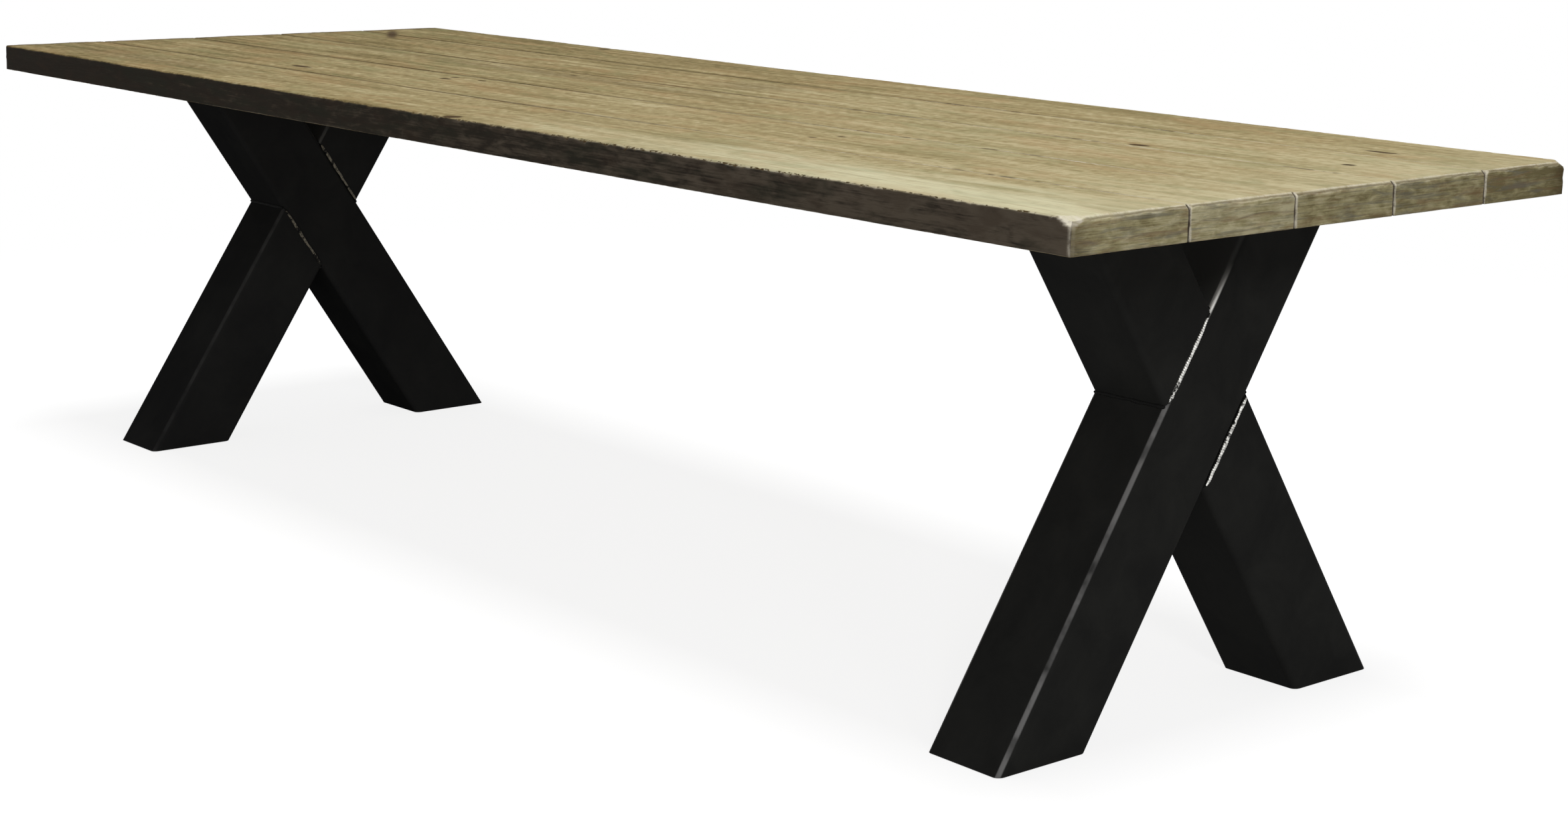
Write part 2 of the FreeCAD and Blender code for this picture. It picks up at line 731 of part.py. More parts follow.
def check():
    """Stop if anything failed to build, a cut removed nothing or a sub-part is no sound solid."""
    for item in doc.Objects:
        if "Invalid" in item.State or "Error" in item.State:
            raise RuntimeError(f"{item.Name} failed to build")
        is_cut = item.TypeId in ("PartDesign::Pocket", "PartDesign::SubtractiveCylinder")
        if is_cut and not item.Shape.Volume < item.BaseFeature.Shape.Volume:
            raise RuntimeError(f"{item.Name} cuts nothing")
    for piece in subparts:
        if piece.Shape.isNull() or not piece.Shape.isValid():
            raise RuntimeError(f"{piece.Label} has no sound shape")


for plank_index in range(len(PLANKS)):
    make_plank(plank_index)
for tongue_index in range(len(TONGUES)):
    make_tongue(tongue_index)
make_channel()
make_channel_fasteners()

bead_kinds = make_beads()
plate_screw = make_screw("plate")
plate_washer = make_washer("plate")
make_frame("right", 1, bead_kinds, plate_screw, plate_washer)
make_frame("left", -1, bead_kinds, plate_screw, plate_washer)

doc.recompute()
check()

os.makedirs("parts", exist_ok=True)
for piece in subparts:
    piece.Shape.exportStep(f"parts/{piece.Label}.step")
print(f"{len(subparts)} sub-parts written, legs lean {layout.lean:.2f} degrees")
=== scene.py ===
"""Long plank table on two crossed steel legs: its looks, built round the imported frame.

The five boards of the top are worn boards that stand for the plain ones, and rippled beads stand
for the plain welds where the legs cross. Every other piece keeps its solid and gets its finish.
"""

import logging
import math
from dataclasses import dataclass
from enum import Enum
from typing import Any

import bpy
import numpy as np
from mathutils import Matrix, Vector


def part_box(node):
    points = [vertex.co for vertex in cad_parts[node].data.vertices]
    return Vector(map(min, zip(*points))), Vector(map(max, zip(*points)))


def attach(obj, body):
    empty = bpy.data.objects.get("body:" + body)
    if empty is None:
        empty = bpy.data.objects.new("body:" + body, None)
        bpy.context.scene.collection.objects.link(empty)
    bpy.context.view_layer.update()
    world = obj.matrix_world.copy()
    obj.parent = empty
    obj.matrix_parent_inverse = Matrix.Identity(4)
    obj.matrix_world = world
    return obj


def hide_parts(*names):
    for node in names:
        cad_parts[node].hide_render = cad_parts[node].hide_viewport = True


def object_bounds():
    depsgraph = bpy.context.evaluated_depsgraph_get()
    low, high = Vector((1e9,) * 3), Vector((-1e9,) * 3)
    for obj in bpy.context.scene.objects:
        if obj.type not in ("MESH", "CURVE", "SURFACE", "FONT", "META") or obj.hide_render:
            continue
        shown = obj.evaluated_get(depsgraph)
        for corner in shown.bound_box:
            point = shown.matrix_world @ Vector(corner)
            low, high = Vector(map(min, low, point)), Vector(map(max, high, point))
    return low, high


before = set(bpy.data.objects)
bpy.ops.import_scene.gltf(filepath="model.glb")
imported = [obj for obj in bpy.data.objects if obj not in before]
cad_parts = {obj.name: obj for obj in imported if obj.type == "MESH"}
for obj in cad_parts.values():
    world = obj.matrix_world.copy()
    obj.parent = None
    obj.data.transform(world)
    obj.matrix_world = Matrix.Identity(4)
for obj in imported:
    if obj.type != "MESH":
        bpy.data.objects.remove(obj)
CAD_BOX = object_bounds()

LOG = logging.getLogger("plank_table")
BODY = "root"
MM = 0.001
X, Y, Z = 0, 1, 2
LOW, HIGH = 0, 1
# The way into the table from a low face and from a high face.
INWARDS = (1, -1)

Array = np.ndarray
Material = bpy.types.Material
Socket = bpy.types.NodeSocket
Tree = bpy.types.NodeTree
Pair = tuple[float, float]
Triple = tuple[float, float, float]
# Places on a ramp and their colours in hex.
Stops = tuple[tuple[float, str], ...]
# Colours in hex, each with the noise channel that places it and its largest share.
Tints = tuple[tuple[str, str, float], ...]
# Where a value starts and ends, and what it becomes there, which is 0 and 1 if not given.
Span = tuple[Any, ...]

# The photograph's frame, in pixels, and the width that the camera's sensor is given.
IMAGE_WIDTH_PX = 2362
IMAGE_HEIGHT_PX = 1235
SENSOR_MM = 36.0

# Knots of the random lattice behind the shape noise, and the middle value of any noise.
NOISE_KNOTS = 256
NOISE_MIDDLE = 0.5
# Rows of the shape noise that are read beside its first, so that noises of one seed differ.
TEETH_ROW, SWELL_ROW, PATCH_ROW = 5.0, 7.0, 3.0
# Share of each finer octave in a finish's noise.
NOISE_ROUGHNESS = 0.6
# Points closer than this are one point, and a point this close to a face lies on it.
SAME_PLACE = 0.001 * MM
ON_FACE = 0.01 * MM

# What the boards' vertices tell their finish, each from 0 to 1; one mark holds both dirt and painted
# shade.
BOARD_MARKS = ("tone", "sawn", "wear", "grime", "ragged", "side", "end", "under", "bleach")

# Settings that many nodes share.
RGBA, FLOAT = {"data_type": "RGBA"}, {"data_type": "FLOAT"}
SMOOTH = {"interpolation_type": "SMOOTHSTEP"}
ADD, MULTIPLY, LARGER = {"operation": "ADD"}, {"operation": "MULTIPLY"}, {"operation": "MAXIMUM"}
SCALED_SUM = {"operation": "MULTIPLY_ADD"}


class Kind(Enum):
    """Node types that the finishes are made of."""

    OUTPUT = "ShaderNodeOutputMaterial"
    WORLD_OUTPUT = "ShaderNodeOutputWorld"
    PRINCIPLED = "ShaderNodeBsdfPrincipled"
    DIFFUSE = "ShaderNodeBsdfDiffuse"
    TRANSPARENT = "ShaderNodeBsdfTransparent"
    EMISSION = "ShaderNodeEmission"
    BACKGROUND = "ShaderNodeBackground"
    ADD_SHADER = "ShaderNodeAddShader"
    MIX_SHADER = "ShaderNodeMixShader"
    COORDINATES = "ShaderNodeTexCoord"
    GEOMETRY = "ShaderNodeNewGeometry"
    LIGHT_PATH = "ShaderNodeLightPath"
    ATTRIBUTE = "ShaderNodeAttribute"
    MAPPING = "ShaderNodeMapping"
    NOISE = "ShaderNodeTexNoise"
    SEPARATE = "ShaderNodeSeparateColor"
    AXES = "ShaderNodeSeparateXYZ"
    RAMP = "ShaderNodeValToRGB"
    RANGE = "ShaderNodeMapRange"
    MIX = "ShaderNodeMix"
    MATH = "ShaderNodeMath"
    VECTOR_MATH = "ShaderNodeVectorMath"
    BUMP = "ShaderNodeBump"


class Leg(Enum):
    """The two crossed legs, by the end of the table that they stand under."""

    RIGHT = "right"
    LEFT = "left"


def linear(colour: str) -> tuple[float, float, float, float]:
    """Turn an sRGB hex colour into linear light.

    Args:
        colour: a hash and six hex digits.

    Returns:
        Linear red, green and blue, and an alpha of 1.
    """
    channels = [int(colour[i : i + 2], 16) / 255 for i in (1, 3, 5)]
    light = [c / 12.92 if c <= 0.04045 else ((c + 0.055) / 1.055) ** 2.4 for c in channels]
    return (*light, 1.0)


def add_node(
    tree: Tree,
    kind: Kind,
    settings: dict[str, Any] | None = None,
    inputs: dict[str | int, Any] | None = None,
    out: str | None = None,
) -> Socket | None:
    """Add a node, set it up and link it.

    Args:
        tree: the node tree that takes the node.
        kind: the type of node.
        settings: the node's own properties; "stops" holds a ramp's places and hex colours.
        inputs: a value, or another node's output, for each input by name or number.
        out: the output that is wanted, where it isn't the first one in use.

    Returns:
        The wanted output, or None for a node that has none.
    """
    node = tree.nodes.new(kind.value)
    for name, value in (settings or {}).items():
        if name == "stops":
            stops = node.color_ramp.elements
            stops[0].position, stops[-1].position = value[0][0], value[-1][0]
            for place, _ in value[1:-1]:
                stops.new(place)
            for stop, (_, colour) in zip(stops, value):
                stop.color = linear(colour)
        else:
            setattr(node, name, value)
    for key, value in (inputs or {}).items():
        by_name = (s for s in node.inputs if s.enabled and s.name == key)
        socket = node.inputs[key] if isinstance(key, int) else next(by_name)
        if isinstance(value, Socket):
            tree.links.new(value, socket)
        else:
            socket.default_value = value
    if out:
        return node.outputs[out]
    return next((s for s in node.outputs if s.enabled), None)


def spanned(value: Socket, span: Span) -> dict[str, Any]:
    """Inputs that carry a value over a span."""
    return {"Value": value} | dict(zip(("From Min", "From Max", "To Min", "To Max"), span))


def layered(tree: Tree, colour: Socket | str, *layers: tuple[Socket, Socket | str]) -> Socket:
    """Lay colours over one another.

    Args:
        tree: the finish's nodes.
        colour: the lowest colour, as an output or in hex.
        layers: share and colour of each layer, from the lowest up.

    Returns:
        The colour.
    """
    for amount, layer in layers:
        pair = (linear(part) if isinstance(part, str) else part for part in (colour, layer))
        colour = add_node(tree, Kind.MIX, RGBA, {"Factor": amount} | dict(zip("AB", pair)))
    return colour


def new_material(name: str) -> Material:
    """Make an empty node material.

    Args:
        name: its name.

    Returns:
        The material.
    """
    material = bpy.data.materials.new(name)
    material.use_nodes = True
    material.node_tree.nodes.clear()
    return material


@dataclass(frozen=True)
class Pattern:
    """Noise whose blotches are drawn out to a real size along each axis.

    Attributes:
        size_mm: the blotches' size along X, Y and Z.
        detail: octaves of finer noise.
        bend: how far the noise bends itself.
    """

    size_mm: Triple
    detail: float = 4.0
    bend: float = 0.0

    def add(self, tree: Tree, spot: Socket, out: str = "Fac") -> Socket:
        """Add the noise to a finish.

        Args:
            tree: the finish's nodes.
            spot: the coordinates, in metres.
            out: "Fac" for one noise, or "Color" for three that differ.

        Returns:
            The noise, from 0 to 1.
        """
        repeats = tuple(1 / (size * MM) for size in self.size_mm)
        drawn = add_node(tree, Kind.MAPPING, {}, {"Vector": spot, "Scale": repeats})
        wants = {"Vector": drawn, "Scale": 1.0, "Detail": self.detail, "Distortion": self.bend}
        return add_node(tree, Kind.NOISE, {}, wants | {"Roughness": NOISE_ROUGHNESS}, out)


def value_noise(across: Array, along: Array, seed: int) -> Array:
    """Smooth noise of two parameters, from 0 to 1.

    Random numbers stand at the whole numbers of a lattice. Between four of them the noise is
    their blend, with each parameter's share eased by 3t^2 - 2t^3.

    Args:
        across: the first parameter.
        along: the second parameter.
        seed: the seed of the random numbers.

    Returns:
        The noise at each pair of parameters.
    """
    knots = np.random.default_rng(seed).random((NOISE_KNOTS, NOISE_KNOTS))
    i, j = np.floor(across).astype(int), np.floor(along).astype(int)
    s, t = across - i, along - j
    s, t = s * s * (3 - 2 * s), t * t * (3 - 2 * t)
    i0, i1, j0, j1 = i % NOISE_KNOTS, (i + 1) % NOISE_KNOTS, j % NOISE_KNOTS, (j + 1) % NOISE_KNOTS
    near = knots[i0, j0] * (1 - s) + knots[i1, j0] * s
    far = knots[i0, j1] * (1 - s) + knots[i1, j1] * s
    return near * (1 - t) + far * t


def line_noise(along: Array, size_mm: float, seed: int, row: float = 0.0) -> Array:
    """Smooth noise along a line: one row of the noise of two parameters, each row its own."""
    return value_noise(along / (size_mm * MM), np.full_like(along, row), seed)


def share(value: Array, start: float, length: float) -> Array:
    """How far a value has come along a length, held between 0 and 1."""
    return np.clip((value - start) / length, 0, 1)


def hump(value: Array, middle: float, width: float) -> Array:
    """A bell round a middle, exp(-d^2), with d the distance from it in widths."""
    return np.exp(-(((value - middle) / width) ** 2))


def graded(low: float, high: float, steps_mm: tuple[float, ...], pitch_mm: float) -> Array:
    """Stations along a side, crowded towards its two ends and even in between.

    Args:
        low: where the side starts, in metres.
        high: where it ends.
        steps_mm: distances of the crowded stations from each end.
        pitch_mm: the even pitch between them.

    Returns:
        The stations, from low to high.
    """
    steps = np.array(steps_mm) * MM
    count = round((high - low - 2 * steps[-1]) / (pitch_mm * MM)) + 1
    even = np.linspace(low + steps[-1], high - steps[-1], count)
    return np.concatenate([low + steps[:-1], even, high - steps[-2::-1]])


def node_box(name: str) -> Array:
    """Lowest and highest corner of a piece's solid."""
    return np.array([list(corner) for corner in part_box(name)])


@dataclass
class Shell:
    """Closed skin of a box, a grid on each of its six faces.

    Attributes:
        points: the grid's points, in metres.
        faces: four point numbers for each face, outwards.
    """

    points: Array
    faces: Array

    @classmethod
    def of_stations(cls, xs: Array, ys: Array, zs: Array) -> "Shell":
        """Lay a grid on each face of the box that the stations span.

        Every point of the full lattice has a number. Each face takes its layer of numbers as a
        grid of two parameters, and only the numbers that some face uses are kept, so that
        neighbouring faces share the points of their edge.

        Args:
            xs: stations along X.
            ys: stations along Y.
            zs: stations along Z.

        Returns:
            The closed skin.
        """
        number = np.arange(xs.size * ys.size * zs.size).reshape(xs.size, ys.size, zs.size)
        level = (number[:, :, -1], number[:, :, 0].T)
        upright = (number[-1], number[0].T, number[:, 0], number[:, -1].T)
        quads = [
            np.stack([g[:-1, :-1], g[1:, :-1], g[1:, 1:], g[:-1, 1:]], axis=-1).reshape(-1, 4)
            for g in (*level, *upright)
        ]
        used, faces = np.unique(np.concatenate(quads), return_inverse=True)
        i, j, k = np.unravel_index(used, number.shape)
        return cls(np.column_stack([xs[i], ys[j], zs[k]]), faces.reshape(-1, 4))

    def welded(self) -> tuple[Array, Array, Array]:
        """Cut the faces into triangles and join points that have come to the same place.

        Returns:
            The points left, the triangles left, and which old point each point left was.
        """
        triangles = np.concatenate([self.faces[:, [0, 1, 2]], self.faces[:, [0, 2, 3]]])
        keys = np.round(self.points / SAME_PLACE).astype(np.int64)
        _, first, place = np.unique(keys, axis=0, return_index=True, return_inverse=True)
        triangles = place.reshape(-1)[triangles]
        a, b, c = triangles.T
        whole = (a != b) & (b != c) & (c != a)
        return self.points[first], triangles[whole], first


def put_mesh(
    name: str, points: Array, faces: Array, marks: dict[str, Array], material: Material
) -> bpy.types.Object:
    """Put a computed surface into the scene as one object at the origin.

    Args:
        name: the object's name.
        points: the points, in metres.
        faces: triangles or quads, as rows of point numbers.
        marks: values for each point, by attribute name.
        material: the finish.

    Returns:
        The object.
    """
    mesh = bpy.data.meshes.new(name)
    count, corners = faces.shape
    mesh.vertices.add(len(points))
    mesh.vertices.foreach_set("co", points.astype(np.float32).ravel())
    mesh.loops.add(count * corners)
    mesh.loops.foreach_set("vertex_index", faces.astype(np.int32).ravel())
    mesh.polygons.add(count)
    mesh.polygons.foreach_set("loop_start", np.arange(0, count * corners, corners, dtype=np.int32))
    mesh.polygons.foreach_set("use_smooth", np.ones(count, dtype=bool))
    mesh.update(calc_edges=True)
    mesh.validate()
    for mark, values in marks.items():
        attribute = mesh.attributes.new(mark, "FLOAT", "POINT")
        attribute.data.foreach_set("value", values.astype(np.float32))
    mesh.materials.append(material)
    piece = bpy.data.objects.new(name, mesh)
    bpy.context.scene.collection.objects.link(piece)
    return piece


def dress_node(name: str, material: Material) -> None:
    """Give a piece that keeps its solid its finish.

    Args:
        name: the piece's name.
        material: the finish.
    """
    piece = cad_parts[name]
    if not piece.material_slots:
        piece.data.materials.append(material)
    for slot in piece.material_slots:
        slot.material = material
    LOG.info("%s: finished in %s", name, material.name)


class Finish:
    """What every finish shares: a named material with one surface."""

    name: str

    def material(self) -> Material:
        """Make the finish.

        Returns:
            The material.
        """
        made = new_material(self.name)
        tree = made.node_tree
        spot = add_node(tree, Kind.COORDINATES, out="Object")
        surface = add_node(tree, Kind.PRINCIPLED, {}, self.surface(tree, spot))
        add_node(tree, Kind.OUTPUT, {}, {"Surface": surface})
        return made

    def surface(self, tree: Tree, spot: Socket) -> dict[str, Any]:
        """Values of the surface's inputs, which each finish works out in its own way."""
        raise NotImplementedError


@dataclass(frozen=True)
class Grain:
    """What every layer of the boards' finish reads.

    Attributes:
        tree: the finish's nodes.
        spot: the board's own coordinates.
        falloff: painted light, how much paler the wood is painted than its middle shade, as the light
            falls off towards the left end.
        contrast: how strong its figure is.
        fibre: the fine fibre noise.
        saw: the saw marks' noise.
        marks: the boards' marks.
    """

    tree: Tree
    spot: Socket
    age: Socket
    contrast: Socket
    fibre: Socket
    saw: Socket
    marks: dict[str, Socket]


@dataclass(frozen=True)
class WeatheredPine(Finish):
    """Old pine boards, sawn, weathered and brushed.

    Dry grey-olive wood: long fine fibre lines, broad streaks, pink and green casts, dark splits.
    The long sides are nearly black, partly darkened over the years and partly painted shade, since
    little light reaches them; the sawn ends are grey and streaked, and every arris is worn to bare
    pale wood. The upper face and the sides are painted paler towards the right end: painted light.
    """

    name: str = "weathered_pine"
    # Colours of the upper face, the long sides, the ends and the underside, and their casts.
    shades: Stops = ((0.26, "#776941"), (0.447, "#a08f64"), (0.553, "#b5a57a"), (0.667, "#cbbd94"))
    # The long sides' shades are partly painted shade: darker than their wood, for the little light that
    # reaches them.
    side_shades: Stops = ((0.39, "#312b24"), (0.5, "#3a332b"), (0.65, "#6e6355"))
    end_shades: Stops = ((0.38, "#887d58"), (0.5, "#b8ad82"), (0.62, "#dad0a8"))
    under_shades: Stops = ((0.4, "#8a7550"), (0.6, "#b09a6e"))
    tints: Tints = (("#b58f63", "Red", 0.27), ("#8b8c60", "Green", 0.35))
    side_tints: Tints = (("#41342a", "Red", 0.4), ("#2e3026", "Green", 0.5))
    end_tints: Tints = (("#97795a", "Red", 0.5), ("#7f7d72", "Green", 0.6))
    # Bleached wood, splits and torn wood, saw scratches, the bare wood of an arris, and dirt and painted
    # shade.
    bleached: str = "#e3deb9"
    split: str = "#4f3f24"
    scratched: str = "#5e5539"
    worn: str = "#efe7d2"
    grime_and_shade_colour: str = "#38230a"

    # Patterns, in millimetres along, across and through a board.
    fibre: Pattern = Pattern((110.0, 2.6, 2.6), 5.0, 0.2)
    figure: Pattern = Pattern((18.0, 15.0, 15.0), 3.0)
    streak: Pattern = Pattern((300.0, 24.0, 24.0), 2.0, 0.3)
    cloud: Pattern = Pattern((420.0, 95.0, 95.0), 2.0, 0.4)
    cast: Pattern = Pattern((190.0, 70.0, 70.0), 4.0, 0.6)
    splits: Pattern = Pattern((150.0, 6.0, 6.0), 2.0)
    side_blotch: Pattern = Pattern((55.0, 14.0, 14.0), 5.0, 0.4)
    side_cast: Pattern = Pattern((90.0, 25.0, 25.0), 4.0, 0.6)
    saw: Pattern = Pattern((40.0, 80.0, 2.4), 4.0)
    mottle: Pattern = Pattern((30.0, 26.0, 10.0), 6.0, 0.4)
    end_cast: Pattern = Pattern((60.0, 80.0, 8.0), 4.0, 0.6)
    rub: Pattern = Pattern((14.0, 9.0, 9.0), 3.0)
    tick: Pattern = Pattern((9.0, 5.0, 5.0), 2.0)

    # Spans over which a noise or a mark comes to show.
    tint_span: Span = (0.48, 0.68)
    split_span: Span = (0.66, 0.74)
    tone_span: Span = (0.0, 1.0, -0.08, 0.05)
    sawn_span: Span = (0.0, 1.0, -0.13, 0.11)
    brushed_span: Span = (0.36, 0.64, 0.22, 0.82)
    scratch_span: Span = (0.54, 0.68, 0.0, 0.6)
    rub_span: Span = (0.3, 0.62, 0.25, 0.95)
    tick_span: Span = (0.5, 0.6)
    grime_and_shade_span: Span = (0.1, 0.6, 0.0, 0.92)
    rough_span: Span = (0.0, 1.0, 0.72, 0.92)

    # Shares of fibre and figure in the upper face's shade.
    figure_shares: Pair = (0.2, 0.46)
    # From the left end to the right the wood is painted paler, painted light for the light falling
    # off towards the left, and its figure weaker.
    falloff_lift: Pair = (-0.11, 0.12)
    contrast: Pair = (1.5, 1.0)
    # How far a board's pattern slides for its tone, in metres.
    board_shift: Triple = (7.3, 3.9, 0.0)
    # What the clouds add to the middle shade, and that shade without them.
    cloud_share: Pair = (0.24, 0.38)
    # How strongly splits show for a contrast of 1, and what is taken off that.
    split_share: Pair = (0.4, -0.15)
    # Share of the sides' blotches, how much they follow the painted falloff of light, share of the ends'
    # mottling.
    blotch_share: float = 0.6
    side_falloff: float = 1.4
    mottle_share: float = 0.5
    # Strength of the fibre's relief, and its depth in millimetres.
    relief: Pair = (0.8, 0.45)
    ior: float = 1.45
    gloss: float = 0.1

    def surface(self, tree: Tree, spot: Socket) -> dict[str, Any]:
        """Work the surface out from the boards' marks and patterns.

        Args:
            tree: the finish's nodes.
            spot: the object's coordinates, in metres.

        Returns:
            The values of the surface's inputs.
        """
        marks = {
            mark: add_node(tree, Kind.ATTRIBUTE, {"attribute_name": mark}, out="Fac")
            for mark in BOARD_MARKS
        }
        sliding = {0: self.board_shift, "Scale": marks["tone"]}
        shift = add_node(tree, Kind.VECTOR_MATH, {"operation": "SCALE"}, sliding)
        own = add_node(tree, Kind.VECTOR_MATH, ADD, {0: spot, 1: shift})
        fibre, saw = self.fibre.add(tree, own), self.saw.add(tree, own)
        along = add_node(tree, Kind.AXES, {}, {"Vector": spot}, "X")
        left, right = (corner[X] for corner in CAD_BOX)
        # The falloff is painted light: the wood is darker towards the left end, where less light falls.
        age, contrast = (
            add_node(tree, Kind.RANGE, {}, spanned(along, (left, right, *ends)))
            for ends in (self.falloff_lift, self.contrast)
        )
        grain = Grain(tree, own, age, contrast, fibre, saw, marks)
        strength, depth = self.relief
        height = add_node(tree, Kind.MIX, FLOAT, {"Factor": marks["end"], "A": fibre, "B": saw})
        relief = {"Strength": strength, "Distance": depth * MM, "Height": height}
        return {
            "Base Color": self._edges(grain, self._top(grain)),
            "Roughness": add_node(tree, Kind.RANGE, {}, spanned(fibre, self.rough_span)),
            "IOR": self.ior,
            "Specular IOR Level": self.gloss,
            "Normal": add_node(tree, Kind.BUMP, {}, relief),
        }

    def _tinted(self, grain: Grain, cast: Pattern, colour: Socket, tints: Tints) -> Socket:
        """Tint a colour in patches.

        Args:
            grain: what every layer reads.
            cast: the pattern, whose channels place the patches.
            colour: the colour.
            tints: the tints.

        Returns:
            The tinted colour.
        """
        noise = cast.add(grain.tree, grain.spot, "Color")
        for tint, channel, most in tints:
            level = add_node(grain.tree, Kind.SEPARATE, {}, {"Color": noise}, channel)
            reach = spanned(level, (*self.tint_span, 0.0, most))
            colour = layered(grain.tree, colour, (add_node(grain.tree, Kind.RANGE, SMOOTH, reach), tint))
        return colour

    def _top(self, grain: Grain) -> Socket:
        """Colour of the worn upper face.

        Args:
            grain: what every layer reads.

        Returns:
            The colour.
        """
        tree, spot, fibre, marks = grain.tree, grain.spot, grain.fibre, grain.marks
        shade = self.streak.add(tree, spot)
        for noise, part in zip((fibre, self.figure.add(tree, spot)), self.figure_shares):
            shade = add_node(tree, Kind.MIX, FLOAT, {"Factor": part, "A": shade, "B": noise})
        lift = add_node(tree, Kind.RANGE, {}, spanned(marks["tone"], self.tone_span))
        # The middle shade follows the board's tone and the painted falloff of light.
        middle = add_node(tree, Kind.MATH, ADD, {0: lift, 1: grain.age})
        cloud, (rise, lowest) = self.cloud.add(tree, spot), self.cloud_share
        middle = add_node(tree, Kind.MATH, SCALED_SUM, {0: cloud, 1: rise, 2: middle})
        middle = add_node(tree, Kind.MATH, ADD, {0: middle, 1: lowest})
        change = add_node(tree, Kind.MATH, ADD, {0: shade, 1: -NOISE_MIDDLE})
        shade = add_node(tree, Kind.MATH, SCALED_SUM, {0: change, 1: grain.contrast, 2: middle})
        colour = add_node(tree, Kind.RAMP, {"stops": self.shades}, {"Fac": shade})
        brushed = add_node(tree, Kind.RANGE, {}, spanned(fibre, self.brushed_span))
        pale = add_node(tree, Kind.MATH, MULTIPLY, {0: marks["bleach"], 1: brushed})
        colour = layered(tree, colour, (pale, self.bleached))
        colour = self._tinted(grain, self.cast, colour, self.tints)
        often, less = self.split_share
        most = add_node(tree, Kind.MATH, SCALED_SUM, {0: grain.contrast, 1: often, 2: less})
        reach = spanned(self.splits.add(tree, spot), (*self.split_span, 0.0, most))
        return layered(tree, colour, (add_node(tree, Kind.RANGE, SMOOTH, reach), self.split))

    def _sides(self, grain: Grain) -> Socket:
        """Colour of the long sides.

        Args:
            grain: what every layer reads.

        Returns:
            The colour.
        """
        tree, blotch = grain.tree, self.side_blotch.add(grain.tree, grain.spot)
        parts = {"Factor": self.blotch_share, "A": grain.fibre, "B": blotch}
        stain_and_falloff = add_node(tree, Kind.MIX, FLOAT, parts)
        # The sides too darken towards the left end: painted shade for the light falling off.
        stain_and_falloff = add_node(tree, Kind.MATH, SCALED_SUM, {0: grain.age, 1: self.side_falloff, 2: stain_and_falloff})
        colour = add_node(tree, Kind.RAMP, {"stops": self.side_shades}, {"Fac": stain_and_falloff})
        return self._tinted(grain, self.side_cast, colour, self.side_tints)

    def _ends(self, grain: Grain) -> Socket:
        """Colour of the sawn ends.

        Args:
            grain: what every layer reads.

        Returns:
            The colour.
        """
        tree, mottle = grain.tree, self.mottle.add(grain.tree, grain.spot)
        parts = {"Factor": self.mottle_share, "A": grain.saw, "B": mottle}
        sawn = add_node(tree, Kind.MIX, FLOAT, parts)
        # Each board's end tone is partly painted shade, mostly darker towards the back.
        lift = add_node(tree, Kind.RANGE, {}, spanned(grain.marks["sawn"], self.sawn_span))
        sawn = add_node(tree, Kind.MATH, ADD, {0: sawn, 1: lift})
        colour = add_node(tree, Kind.RAMP, {"stops": self.end_shades}, {"Fac": sawn})
        colour = self._tinted(grain, self.end_cast, colour, self.end_tints)
        scratch = add_node(tree, Kind.RANGE, SMOOTH, spanned(grain.saw, self.scratch_span))
        return layered(tree, colour, (scratch, self.scratched))

    def _edges(self, grain: Grain, colour: Socket) -> Socket:
        """Lay the underside, sides, ends, rubbed arrises and dirt over the upper face's colour.

        Args:
            grain: what every layer reads.
            colour: the upper face's colour.

        Returns:
            The colour.
        """
        tree, spot, marks = grain.tree, grain.spot, grain.marks
        rub_and_highlight, ticked, dirt = (
            add_node(tree, Kind.RANGE, SMOOTH, spanned(value, span))
            for value, span in (
                (self.rub.add(tree, spot), self.rub_span),
                (self.tick.add(tree, spot), self.tick_span),
                (marks["grime"], self.grime_and_shade_span),
            )
        )
        worn = add_node(tree, Kind.MATH, MULTIPLY, {0: marks["wear"], 1: rub_and_highlight})
        ragged = add_node(tree, Kind.MATH, MULTIPLY, {0: marks["ragged"], 1: ticked})
        under = add_node(tree, Kind.RAMP, {"stops": self.under_shades}, {"Fac": grain.fibre})
        sides, ends = (marks["side"], self._sides(grain)), (marks["end"], self._ends(grain))
        # The last layer darkens with both dirt and painted shade.
        rubs = ((worn, self.worn), (ragged, self.split), (dirt, self.grime_and_shade_colour))
        return layered(tree, colour, (marks["under"], under), sides, ends, *rubs)


